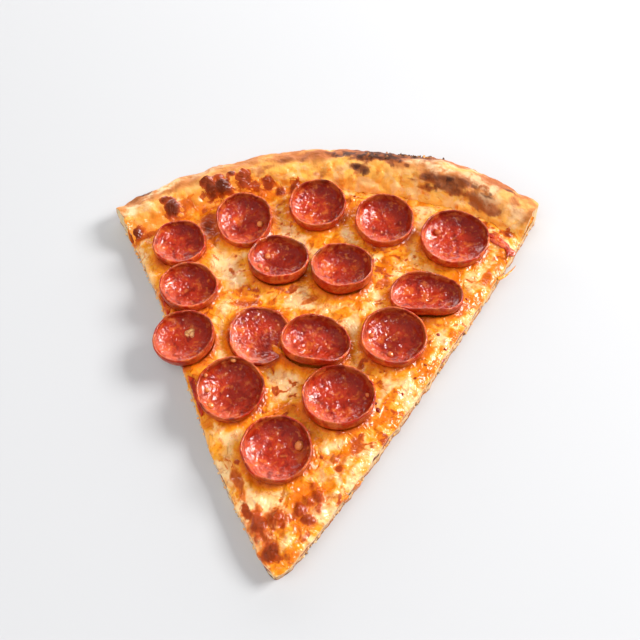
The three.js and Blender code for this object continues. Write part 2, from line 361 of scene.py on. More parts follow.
@dataclass(frozen=True)
class MeltedMozzarella:
    """Low-moisture mozzarella, melted and blistered in a hot oven, with pepperoni oil on it."""

    cream: str = "#FDD094"
    yellow: str = "#F39E20"
    oil: str = "#E0700C"
    wisped: str = "#C65E14"
    tomato: str = "#AE4210"
    toast: str = "#70280A"
    char: str = "#2E130B"
    flow: float = 10.0
    wisp: float = 6.5
    speck: float = 2.6

    def material(self) -> Material:
        """Creamy domes with glossy orange oil between them, browned where they blistered."""
        paint = Paint("melted_mozzarella", self.cream)
        flow = paint.noise(self.flow, 5, 1.6)
        fine = paint.noise(3.2, 4, 1.2)
        paint.lay(self.yellow, paint.mark("gold"), paint.ramp(flow, 0.4, 0.52))
        spread = paint.broken("oil", fine)
        paint.lay(self.yellow, paint.ramp(spread, 0.2, 0.62))
        oily = paint.times(paint.ramp(spread, 0.45, 0.95), 0.95)
        paint.lay(self.oil, oily)
        wisps = paint.ridge(paint.noise(self.wisp, 2, 1.2), 0.5, 0.1)
        some = paint.ramp(paint.noise(4.5, 2), 0.5, 0.62)
        paint.lay(self.wisped, wisps, some, 0.5)
        stain = paint.broken("stain", fine)
        paint.lay(self.oil, paint.ramp(stain, 0.25, 0.6), 0.9)
        paint.lay(self.tomato, paint.ramp(stain, 0.42, 0.95), 0.95)
        paint.lay(self.tomato, paint.ramp(paint.broken("toast", fine), 0.3, 0.6))
        paint.lay(self.toast, paint.ramp(paint.broken("toast", fine), 0.5, 1.0), 0.9)
        paint.lay(self.char, paint.mark("char"))
        bits = paint.ramp(paint.noise(self.speck, 3, 1.2), 0.61, 0.7)
        crowd = paint.ramp(paint.noise(9.0, 2), 0.44, 0.6)
        paint.lay(self.wisped, bits, crowd, 0.6)
        folds = paint.ridge(paint.noise(7.0, 2, 1.0), 0.5, 0.12)
        rough = paint.ramp(paint.noise(3.0, 2), 0.1, 1.4)
        return paint.finish(
            paint.math("SUBTRACT", paint.math("ADD", rough, 0.15), paint.times(oily, 0.2)),
            [(paint.noise(4.5, 2, 0.8), 0.55), (fine, 0.08), (folds, 0.25)],
            Subsurface_Weight=0.3,
            Subsurface_Radius=(1.0, 0.45, 0.12),
            Subsurface_Scale=2.4 * MM,
            IOR=1.45,
            Specular_IOR_Level=0.2,
            Coat_Weight=paint.math("SUBTRACT", 0.7, paint.times(paint.mark("toast"), 0.25)),
            Coat_Roughness=0.11,
            Coat_IOR=1.47,
        )


@dataclass(frozen=True)
class CuredPepperoni:
    """Cured pork and beef sausage, sliced and baked in its own fat."""

    meat: str = "#BC300E"
    deep: str = "#780E02"
    bright: str = "#E46A22"
    lit_rosy: str = "#DA6442"
    wall: str = "#B62404"
    fat: str = "#E4803C"
    crisp: str = "#8A3414"
    char: str = "#30140A"
    mottle: float = 4.6
    fleck: float = 2.4

    def material(self) -> Material:
        """Dark wet red with small pale flecks of fat, painted light and shade on the inner walls, and a red
        wall outside, lightly translucent, with patches of painted orange glow.
        """
        paint = Paint("cured_pepperoni", self.meat)
        mottle = paint.noise(self.mottle, 5, 0.9)
        # Painted light: a rosy tone on the inner wall that faces the key light.
        paint.lay(self.lit_rosy, paint.mark("lit"), 0.75)
        paint.lay(self.deep, paint.ramp(mottle, 0.5, 0.68), 0.75)
        paint.lay(self.bright, paint.ramp(mottle, 0.47, 0.33), 0.8)
        paint.lay(self.deep, paint.mark("middle"), 0.85)
        # Painted shade: deep red on the inner wall that faces away from the key light.
        paint.lay(self.deep, paint.mark("inner"), 0.85)
        flecks = paint.ramp(paint.noise(self.fleck, 2), 0.55, 0.75)
        paint.lay(self.fat, flecks, 0.45)
        paint.lay(self.wall, paint.mark("outside"), 0.95)
        # Painted light: bright orange patches on the outer wall stand for light shining through the meat.
        painted_glow = paint.times(paint.mark("outside"), paint.ramp(mottle, 0.5, 0.36))
        paint.lay(self.bright, painted_glow, 0.42)
        paint.lay(self.deep, paint.mark("foot"), 0.5)
        broken = paint.ramp(paint.noise(5.0, 3), 0.42, 0.62)
        paint.lay(self.fat, paint.mark("edge"), paint.ramp(mottle, 0.56, 0.44), 0.6)
        paint.lay(self.crisp, paint.mark("edge"), broken, 0.7)
        paint.lay(self.char, paint.mark("char"))
        wet = paint.noise(1.9, 2, 1.2)
        return paint.finish(
            0.4,
            [(paint.noise(3.4, 2, 0.8), 0.55), (wet, 0.34)],
            Subsurface_Weight=0.12,
            Subsurface_Radius=(1.0, 0.2, 0.05),
            Subsurface_Scale=1.2 * MM,
            IOR=1.4,
            Specular_IOR_Level=0.15,
            Coat_Weight=paint.math("SUBTRACT", 1.0, paint.times(paint.mark("outside"), 0.65)),
            Coat_Roughness=0.04,
            Coat_IOR=1.6,
        )


@dataclass(frozen=True)
class BakedDough:
    """Wheat dough, hand-stretched, floured and baked on a hot stone."""

    gold: str = "#F2A858"
    pale: str = "#F2C896"
    brown: str = "#AE5E28"
    dark: str = "#743818"
    char: str = "#3A1A0C"
    crumb: str = "#E8D0A2"
    yellow: str = "#FDB84C"
    amber: str = "#E8861E"
    cream: str = "#FCD292"
    patch: float = 14.0
    grain: float = 0.9

    def material(self) -> Material:
        """Dry golden crust in brown and floury patches, with a cream crumb where it is cut."""
        paint = Paint("baked_dough", self.gold)
        patch = paint.noise(self.patch, 5, 0.5)
        fine = paint.noise(3.2, 4, 0.4)
        brown = paint.times(paint.mark("bake"), paint.ramp(patch, 0.3, 0.5))
        paint.lay(self.brown, brown)
        dark = paint.times(paint.mark("bake"), paint.ramp(patch, 0.56, 0.72))
        paint.lay(self.dark, dark, 0.7)
        paint.lay(self.yellow, paint.mark("oil"))
        creases = paint.ramp(paint.noise(6.0, 4, 1.2), 0.5, 0.66)
        paint.lay(self.amber, paint.mark("oil"), creases)
        pale = paint.ramp(paint.noise(6.5, 3, 0.8), 0.5, 0.62)
        paint.lay(self.cream, paint.mark("oil"), pale, 0.6)
        paint.lay(self.amber, paint.ramp(paint.broken("seep", fine), 0.35, 0.8))
        paint.lay(self.brown, paint.ramp(paint.broken("browned", fine), 0.3, 0.7))
        paint.lay(self.dark, paint.ramp(paint.broken("browned", patch), 0.6, 0.9), 0.55)
        paint.lay(self.pale, paint.mark("flour"), paint.ramp(fine, 0.3, 0.6))
        burnt = paint.times(paint.mark("char"), paint.ramp(fine, 0.28, 0.58))
        paint.lay(self.dark, paint.ramp(burnt, 0.05, 0.4), 0.8)
        paint.lay(self.char, paint.ramp(burnt, 0.4, 0.85), 0.85)
        paint.lay(self.crumb, paint.mark("crumb"))
        paint.lay(self.brown, paint.mark("base"))
        specks = paint.ramp(paint.noise(1.2, 1), 0.74, 0.8)
        paint.lay(self.dark, specks, 0.6)
        grain = paint.noise(self.grain, 3)
        return paint.finish(
            0.62,
            [(paint.noise(5.0, 4, 0.4), 1.1), (grain, 0.15)],
            Subsurface_Weight=0.1,
            Subsurface_Radius=(1.0, 0.6, 0.3),
            Subsurface_Scale=1.2 * MM,
            IOR=1.45,
            Specular_IOR_Level=0.3,
            Coat_Weight=paint.times(paint.mark("oil"), 0.9),
            Coat_Roughness=0.14,
        )


@dataclass(frozen=True)
class RenderedFat:
    """Pork fat that has melted out of the sausage and taken its paprika's colour."""

    amber: str = "#E08A48"
    red: str = "#C04A1C"

    def material(self) -> Material:
        """Small wet translucent beads, from tan to orange."""
        paint = Paint("rendered_fat", self.amber)
        paint.lay(self.red, paint.mark("red"))
        return paint.finish(
            0.3,
            [(paint.noise(1.6, 2), 0.12)],
            Subsurface_Weight=0.3,
            Subsurface_Radius=(1.0, 0.45, 0.15),
            Subsurface_Scale=1.0 * MM,
            Coat_Weight=1.0,
            Coat_Roughness=0.06,
            Coat_IOR=1.5,
        )


@dataclass(frozen=True)
class CookedTomato:
    """Crushed tomato, cooked down to a wet paste."""

    red: str = "#A42A10"
    dark: str = "#6A1408"

    def material(self) -> Material:
        """Wet brick red, darker where it has dried at the cut."""
        paint = Paint("cooked_tomato", self.red)
        paint.lay(self.dark, paint.ramp(paint.noise(4.0, 4, 0.5), 0.45, 0.7))
        return paint.finish(
            0.35,
            [(paint.noise(1.6, 3), 0.3)],
            Subsurface_Weight=0.15,
            Subsurface_Radius=(1.0, 0.25, 0.1),
            Subsurface_Scale=1.0 * MM,
            Coat_Weight=0.4,
            Coat_Roughness=0.15,
        )


@dataclass(frozen=True)
class StudioPaper:
    """Seamless matte paper, pale and even."""

    white: str = "#C5C5C6"

    def material(self) -> Material:
        """A plain pale ground that only shows soft shadow."""
        paint = Paint("studio_paper", self.white)
        return paint.finish(0.9, [])


# ---- The slice's plan, and its dough ----


@dataclass(frozen=True)
class Plan:
    """The slice seen from above: two cuts from the tip, and the arc of the rim's outer edge."""

    left_bearing: float = -29.2
    right_bearing: float = 28.9
    left_swing: float = 2.3
    right_bow: float = 4.4
    bow_exponent: float = 0.5
    tip_width: float = 3.0
    tip_rounding: float = 5.0
    arc_centre: tuple[float, float] = (19.0, 40.5)
    arc_radius: float = 169.0
    opening: float = 58.0

    def bearing(self, across: Array) -> Array:
        """The bearing in degrees at a share across the slice, from the left cut to the right."""
        return mix(self.left_bearing, self.right_bearing, across)

    def across(self, bearing: float) -> float:
        """The share across the slice at a bearing in degrees."""
        return (bearing - self.left_bearing) / (self.right_bearing - self.left_bearing)

    def reach(self, across: Array) -> Array:
        """The distance from the tip to the rim's outer edge."""
        angle = np.radians(self.bearing(across))
        east, north = self.arc_centre
        along = east * np.sin(angle) + north * np.cos(angle)
        aside = north * np.sin(angle) - east * np.cos(angle)
        return along + np.sqrt(self.arc_radius**2 - aside**2)

    def from_tip(self, across: Array, distance: Array) -> tuple[Array, Array]:
        """The x and y from the tip at a share across the slice and a distance from the tip."""
        turn = np.pi * distance / self.reach(across)
        left = -self.tip_width / 2 - self.left_swing * np.sin(2 * turn)
        right = self.tip_width / 2 + self.right_bow * np.maximum(np.sin(turn), 0) ** self.bow_exponent
        behind = np.clip(distance / self.tip_rounding, 0, 1)
        aside = mix(left, right, across) * (0.12 + 0.88 * behind**0.6)
        angle = np.radians(self.bearing(across))
        return rotated(aside, distance, -angle)

    def from_cut(self, across: Array, distance: Array) -> Array:
        """The distance from the nearer cut."""
        return np.minimum(across, 1 - across) * distance * math.radians(self.opening)

    def tip(self) -> Array:
        """Where the tip lies in the frame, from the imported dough's box."""
        low = np.array(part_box("dough")[0]) / MM
        left, near = self.from_tip(np.array(0.0), np.array([self.reach(np.array(0.0)), 0.0]))
        return np.array([low[0] - left[0], low[1] - near[1], 0.0])

    def outward(self, across: Array) -> Array:
        """The level direction that points out of the nearer cut."""
        angle = np.radians(np.where(across < 0.5, self.left_bearing, self.right_bearing))
        side = np.where(across < 0.5, -1.0, 1.0)
        return xyz(side * np.cos(angle), -side * np.sin(angle))


@dataclass(frozen=True)
class Blotch:
    """A patch of a mark on the rim: its bearing in degrees, how far in from the outer edge its
    middle is, its length along the rim, its width, and how strong it is."""

    bearing: float
    inset: float
    length: float
    width: float
    strength: float = 1.0


@dataclass
class Dough:
    """The dough: a flat base under the toppings, and a raised rim.

    Attributes:
        plan: the slice seen from above.
        tip: where the tip lies in the frame.
    """

    plan: Plan
    tip: Array
    base_thickness: float = 4.2
    rim_width: float = 28.0
    crown_inset: float = 10.5
    heel_inset: float = 6.0
    edge_height_share: float = 0.42
    rim_heights: tuple[float, ...] = (12, 14.5, 16.5, 18, 19.5, 13.5)
    lump_height: float = 1.6
    puff: float = 0.4
    slope_lumps: float = 2.0
    flare: float = 0.8
    pore_depth: float = 1.1
    columns: int = 210
    crown_turn: float = 0.8
    sole_share: float = 0.25
    section_step: float = 0.002
    noise: Noise = field(default_factory=lambda: Noise(11))
    char: tuple[Blotch, ...] = listed(
        Blotch,
        (2.8, 8.0, 16, 6.0, 0.9), (5.9, 7.6, 15, 8.0, 1.0), (8.8, 6.6, 15, 7.0, 1.0),
        (10.8, 5.2, 13, 7.0, 1.0), (12.6, 3.4, 11, 6.0, 1.0), (4.2, 9.5, 14, 5.0, 0.8),
        (7.6, 9.6, 12, 4.0, 0.8), (4.6, 15.0, 4, 3, 0.8), (5.6, 17.2, 5, 3, 0.7),
        (9.3, 13.8, 2.5, 3, 0.6), (10.1, 10.5, 3, 2.5, 0.8), (11.2, 12.6, 4, 2.0, 0.7),
        (14.2, 16.2, 9, 1.8, 0.7), (15.4, 18.6, 8, 1.6, 0.6), (16.8, 15.2, 8, 2.0, 0.8),
        (17.9, 17.0, 7, 1.6, 0.6), (19.6, 14.2, 8, 1.8, 0.6), (22.4, 15.0, 6, 1.6, 0.5),
        (24.8, 7, 7, 2.5, 0.6), (-24.4, 1.2, 10, 4, 0.8), (-5.7, 10.3, 5, 3, 0.3),
    )
    browned: tuple[Blotch, ...] = listed(
        Blotch,
        (1.0, 7.5, 22, 6, 0.7), (7.5, 7.0, 36, 11, 1.0), (13.0, 4.5, 26, 8, 1.0), (18.5, 4.0, 24, 5, 0.7),
        (24.0, 5.0, 22, 8, 0.7), (16.5, 16.0, 28, 7, 1.0), (20.5, 13.0, 20, 4, 0.8),
        (23.0, 18.5, 18, 4, 0.8), (26.5, 11.5, 10, 5, 0.6), (-0.3, 18, 6, 5, 0.5), (4.8, 16.2, 9, 5, 0.6),
        (10.6, 12.2, 10, 5, 0.6), (-9.0, 13.0, 16, 5, 0.5), (-15.0, 12.5, 12, 5, 0.6),
        (-21.0, 9.0, 12, 4, 0.5),
    )
    flour: tuple[Blotch, ...] = listed(
        Blotch,
        (12.6, 9.5, 12, 5, 0.9), (15.4, 11.5, 15, 6, 0.9), (16.1, 7, 12, 4, 0.7), (20, 10.4, 14, 6, 0.7),
        (22.8, 12.5, 12, 7, 0.8), (26.6, 16, 9, 8, 0.6), (20.0, 4.6, 9, 2, 0.8), (-22.6, 4.5, 17, 6, 1.0),
        (-27.6, 10, 8, 7, 1.0), (-25.5, 13, 6, 4, 0.6), (-16.0, 5.0, 20, 5, 0.5),
    )

    def rim_height(self, across: Array) -> Array:
        """The rim's height at a share across the slice."""
        heights = np.array(self.rim_heights)
        place = np.clip(across, 0, 1) * (len(heights) - 1)
        before = np.minimum(np.floor(place), len(heights) - 2).astype(int)
        return mix(heights[before], heights[before + 1], smoothstep(0, 1, place - before))

    def top_height(self, across: Array, inset: Array) -> Array:
        """The height of the dough's top, at an inset from the outer edge of a crown's or more."""
        share = (self.rim_width - inset) / (self.rim_width - self.crown_inset)
        rise = (1 - np.cos(np.pi * np.clip(share, 0, 1))) / 2
        return mix(self.base_thickness, self.rim_height(across), rise)

    def section(self, across: Array, turn: Array, upper: bool) -> tuple[Array, ...]:
        """A point of the smooth cross-section, as a distance from the tip and a height.

        Args:
            across: the share across the slice.
            turn: 0 at the tip, crown_turn at the crown and 1 at the outermost line.
            upper: whether the point is on the top or on the underside.

        Returns:
            The distance from the tip, and the height.
        """
        reach = self.plan.reach(across)
        rim = self.rim_height(across)
        edge_height = rim * self.edge_height_share
        crown = reach - self.crown_inset
        inner = crown * np.minimum(turn, self.crown_turn) / self.crown_turn
        beyond = np.clip((turn - self.crown_turn) / (1 - self.crown_turn), 0, 1)
        if upper:
            angle = beyond * np.pi / 2
            outer = reach - self.crown_inset * (1 - np.sin(angle))
            over = edge_height + (rim - edge_height) * np.cos(angle)
            is_outer = turn > self.crown_turn
            return np.where(is_outer, outer, inner), np.where(
                is_outer, over, self.top_height(across, reach - inner)
            )
        angle = np.clip((beyond - self.sole_share) / (1 - self.sole_share), 0, 1) * np.pi / 2
        sole = mix(crown, reach - self.heel_inset, np.minimum(beyond / self.sole_share, 1))
        outer = sole + self.heel_inset * np.sin(angle)
        return np.where(turn > self.crown_turn, outer, inner), edge_height * (1 - np.cos(angle))

    def surface(self, across: Array, turn: Array, upper: bool) -> Array:
        """Points of the lumpy surface in the frame, for grids of across and turn."""
        distance, height = self.section(across, turn, upper)
        ahead = self.section(across, np.minimum(turn + self.section_step, 1), upper)
        behind = self.section(across, np.maximum(turn - self.section_step, 0), upper)
        run, rise = ahead[0] - behind[0], ahead[1] - behind[1]
        length = np.maximum(np.hypot(run, rise), 1e-6)
        sign = 1.0 if upper else -1.0
        x, y = self.plan.from_tip(across, distance)
        places = xyz(x, y, height)
        swell = self.noise.fractal(places * np.array([0.8, 1.0, 1.0]), 11, 4) + self.puff
        swell = swell + 0.5 * np.abs(self.noise.fractal(places + 60, 7, 2))
        reach = self.plan.reach(across)
        on_rim = smoothstep(self.rim_width, self.crown_inset + 4, reach - distance)
        lift = self.lump_height * swell * (on_rim if upper else smoothstep(0, 3, height))
        if upper:
            on_slope = smoothstep(self.rim_width, 23, reach - distance) * smoothstep(11, 15, reach - distance)
            lift = lift + self.slope_lumps * np.abs(self.noise.fractal(places + 210, 6.5, 2)) * on_slope
        distance = distance - sign * rise / length * lift
        height = np.maximum(height + sign * run / length * lift, 0)
        x, y = self.plan.from_tip(across, distance)
        points = xyz(x, y, height)
        ragged = self.noise.fractal(xyz(distance, across * 900), 5, 4)
        near_cut = np.abs(2 * across - 1) ** 24
        flare = self.flare * mix(0.3, 1.0, across) * smoothstep(2.0, 40.0, distance)
        spread = ragged + flare * smoothstep(7.0, 1.0, height)
        return points + self.plan.outward(across) * (spread * near_cut)[..., None] + self.tip

    def blotted(self, blotches: tuple[Blotch, ...], points: Array) -> Array:
        """How strongly a set of blotches marks each point, from 0 to 1."""
        x, y = points[..., 0] - self.tip[0], points[..., 1] - self.tip[1]
        wobble = self.noise.fractal(points * np.array([0.35, 1.0, 1.0]), 3.4, 4)
        marked = np.zeros(x.shape)
        for blotch in blotches:
            across = np.array(self.plan.across(blotch.bearing))
            east, north = self.plan.from_tip(across, self.plan.reach(across) - blotch.inset)
            centre_x, centre_y = self.plan.arc_centre
            angle = math.atan2(east - centre_x, north - centre_y)
            along, away = rotated(x - east, y - north, angle)
            far = np.hypot(along / (blotch.length / 2), away / (blotch.width / 2)) + 0.9 * wobble
            marked = np.maximum(marked, blotch.strength * smoothstep(1.45, 0.5, far))
        return marked

    def marks(self, points: Array, across: Array, turn: Array, upper: bool) -> Marks:
        """The marks that the dough's finish reads."""
        distance, height = self.section(across, turn, upper)
        inset = self.plan.reach(across) - distance
        uneven = inset + 3.0 * self.noise.fractal(points + 20, 9, 3)
        rightward = smoothstep(0.55, 0.8, across)
        crust = np.maximum(smoothstep(16, 8, uneven), rightward * smoothstep(24, 18, uneven) * 0.8)
        seeped = smoothstep(mix(9.0, 16.0, rightward), mix(16.0, 25.0, rightward), uneven)
        marks = {
            "bake": crust * mix(0.75, 1.0, smoothstep(0.3, 0.5, across)),
            "oil": smoothstep(mix(9.0, 13.5, rightward), mix(15.5, 20.0, rightward), uneven),
            "seep": seeped * mix(0.75, 0.4, smoothstep(0.3, 0.45, across)),
            "char": self.blotted(self.char, points),
            "browned": self.blotted(self.browned, points),
            "flour": self.blotted(self.flour, points),
            "base": np.zeros(turn.shape),
        }
        if upper:
            return marks
        leopard = self.noise.fractal(points, 9, 4)
        sole = smoothstep(4.0, 0.6, height)
        marks["base"] = sole * np.clip(0.45 + 0.9 * leopard, 0, 1)
        marks["char"] = sole * smoothstep(0.45, 0.75, leopard) * 0.8
        return marks

    def shell(self) -> Patch:
        """The skin from the tip along the underside, round the rim and back over the top."""
        crown = self.crown_turn
        under = np.concatenate([np.linspace(0, crown, 130), np.linspace(crown, 1, 22)[1:]])
        foot = crown * 0.86
        over = np.concatenate(
            [np.linspace(1, crown, 30)[1:], np.linspace(crown, foot, 44)[1:], np.linspace(foot, 0, 14)[1:]]
        )
        across = np.linspace(0, 1, self.columns)
        grids = []
        for turns, upper in ((under, False), (over, True)):
            turn, share = np.meshgrid(turns, across, indexing="ij")
            points = self.surface(share, turn, upper)
            grids.append((points, self.marks(points, share, turn, upper)))
        points = np.concatenate([grid for grid, _ in grids])
        marks = {name: np.concatenate([marked[name] for _, marked in grids]) for name in grids[0][1]}
        return Patch(points, marks)

    def cut_face(self, across: float, decks: int = 15) -> Patch:
        """The crumb that shows at one of the cuts, with its pores."""
        crown = self.crown_turn
        turns = np.concatenate([np.linspace(0, crown, 300), np.linspace(crown, 1, 30)[1:]])
        turn, deck = np.meshgrid(turns, np.linspace(0, 1, decks), indexing="ij")
        share = np.full(turn.shape, across)
        low, high = self.surface(share, turn, False), self.surface(share, turn, True)
        points = mix(low, high, deck[..., None])
        inside = np.sin(np.pi * np.clip(deck, 0, 1)) ** 0.5
        pores = smoothstep(0.05, 0.6, self.noise.fractal(points * np.array([1, 1, 1.5]), 3.4, 3))
        points = points - self.plan.outward(share) * (self.pore_depth * pores * inside)[..., None]
        thickness = high[..., 2] - low[..., 2]
        height = deck * thickness
        skin = smoothstep(0.9, 0.1, np.minimum(height, thickness - height))
        leopard = self.noise.fractal(points, 6, 3)
        marks = {
            # Less crumb colour in the pores is painted shade in the recesses.
            "crumb": np.clip(mix(0.95, 0.6, share) - skin - 0.25 * pores, 0, 1),
            "base": smoothstep(1.6, 0.2, height) * np.clip(mix(0.55, 0.8, share) + leopard, 0, 1),
            "char": smoothstep(1.2, 0.2, height) * smoothstep(0.2, 0.6, leopard),
            "bake": np.ones(turn.shape) * 0.6,
            "oil": smoothstep(1.6, 0.2, thickness - height) * (turn < crown * 0.93) * 0.8,
        }
        return Patch(points, marks, flipped=across > 0.5)

    def tip_face(self) -> Patch:
        """The narrow blunt end at the tip."""
        across, deck = np.meshgrid(np.linspace(0, 1, self.columns), np.linspace(0, 1, 6), indexing="ij")
        start = np.zeros(across.shape)
        low, high = self.surface(across, start, False), self.surface(across, start, True)
        points = mix(low, high, deck[..., None])
        return Patch(points, {"base": smoothstep(0.5, 0.1, deck), "crumb": smoothstep(0.3, 0.6, deck)})

    def build(self, finish: BakedDough) -> None:
        """Makes the dough and dresses it."""
        patches = [self.shell(), self.cut_face(0.0), self.cut_face(1.0), self.tip_face()]
        settle(make_object("baked_dough", patches, finish.material()), Slot.DOUGH, "dough")


# ---- Pepperoni ----


@dataclass(frozen=True)
class Cup:
    """One whole slice of pepperoni, curled into a cup, measured from its CAD node.

    Attributes:
        foot: the middle of the cup's floor, midway through its thickness.
        axes: the cup's own x, y and z directions, as rows.
        radius: the rim's distance from the axis, as a series in the angle round it.
        height: the rim's height above the foot, as a series in the angle round it.
    """

    foot: Array
    axes: Array
    radius: Array
    height: Array
    squareness: float = 3.5
    inner_squareness: float = 2.3
    floor_thickness: float = 1.8
    rim_thickness: float = 1.05

    @staticmethod
    def series(angle: Array) -> Array:
        """The terms of a rim's series, along the last axis."""
        waves = [f(n * angle) for n in (1, 2, 3) for f in (np.cos, np.sin)]
        return np.stack([np.ones_like(angle), *waves], axis=-1)

    @classmethod
    def measured(cls, node: bpy.types.Object) -> Cup:
        """Finds a cup's place, tilt and rim from its faceted solid."""
        points = np.array([v.co for v in node.data.vertices]) / MM
        points = np.unique(points.round(3), axis=0)
        middle = points.mean(axis=0)
        up = np.linalg.svd(points - middle)[2][2]
        up = up if up[2] > 0 else -up
        x_axis = np.cross([0.0, 1.0, 0.0], up)
        x_axis = x_axis / np.linalg.norm(x_axis)
        axes = np.stack([x_axis, np.cross(up, x_axis), up])
        local = (points - middle) @ axes.T
        reach = np.hypot(local[:, 0], local[:, 1])
        centre = local[np.argsort(reach)[:2]].mean(axis=0)
        local = local - centre
        foot = middle + centre @ axes
        angle = np.arctan2(local[:, 1], local[:, 0])
        apart = np.abs(np.angle(np.exp(1j * (angle[:, None] - angle[None, :]))))
        top = np.where(apart < 0.12, local[None, :, 2], -99).max(axis=1)
        reach = np.hypot(local[:, 0], local[:, 1])
        is_rim = (local[:, 2] > 0.75 * top) & (reach > 0.5 * reach.max())
        terms = cls.series(angle[is_rim])
        radius = np.linalg.lstsq(terms, reach[is_rim], rcond=None)[0]
        height = np.linalg.lstsq(terms, local[is_rim, 2], rcond=None)[0]
        return cls(foot, axes, radius, height)

    def local(self, x: Array, y: Array, z: float) -> Array:
        """Places at one height in the frame, in the cup's own axes."""
        return (xyz(x, y, z) - self.foot) @ self.axes.T

    def wall_radius(self, angle: Array, height: float) -> Array:
        """How far from the axis the wall stands at a height above the foot."""
        terms = self.series(angle)
        rise = np.clip(height / (terms @ self.height), 0, 0.98)
        bend = np.arccos((1 - rise) ** (self.squareness / 2))
        return (terms @ self.radius) * np.sin(bend) ** (2 / self.squareness)

    def section(self, turn: Array, angle: Array, squareness: float) -> tuple[Array, Array, Array]:
        """The wall midway through its thickness.

        Args:
            turn: radians round the section, 0 on the axis and a quarter turn at the rim.
            angle: radians round the cup.
            squareness: the exponent of the section's superellipse.

        Returns:
            The distance from the axis, the height, and the wall's slant from level in radians.
        """
        power = 2 / squareness
        sine, cosine = np.sin(turn), np.maximum(np.cos(turn), 1e-9)
        terms = self.series(angle)
        fold = terms[..., 3:5] @ self.height[3:5]
        rim_radius = terms @ self.radius
        rim_height = terms @ self.height - fold
        run = rim_radius * sine**power
        rise = rim_height * (1 - cosine**power) + fold * (run / rim_radius) ** 2
        slant = np.arctan2(rim_height * sine ** (2 - power), rim_radius * cosine ** (2 - power))
        return run, rise, slant

    def inner_place(self, degrees: float, share: float) -> Array:
        """A place on the inner skin, at an angle round the cup and a share of the way out."""
        angle = np.array(math.radians(degrees))
        turn = np.array(math.asin(share ** (self.inner_squareness / 2)))
        run, rise, slant = self.section(turn, angle, self.inner_squareness)
        away = mix(self.floor_thickness, self.rim_thickness, share**2) / 2
        run, rise = run - away * np.sin(slant), rise + away * np.cos(slant)
        return np.array([run * np.cos(angle), run * np.sin(angle), rise]) @ self.axes + self.foot

    def even_turns(self, count: int, squareness: float) -> Array:
        """Turns from the axis to the rim that are evenly spaced along the section."""
        turn = np.linspace(0, np.pi / 2, 2000)
        run, rise, _ = self.section(turn, np.zeros_like(turn), squareness)
        steps = np.hypot(np.diff(run), np.diff(rise))
        walked = np.concatenate([[0], np.cumsum(steps)])
        return np.interp(np.linspace(0, walked[-1], count), walked, turn)


class Charring(Enum):
    """How dark a cup's rim has gone in the oven."""

    LIGHT = 0.45
    DARK = 0.9


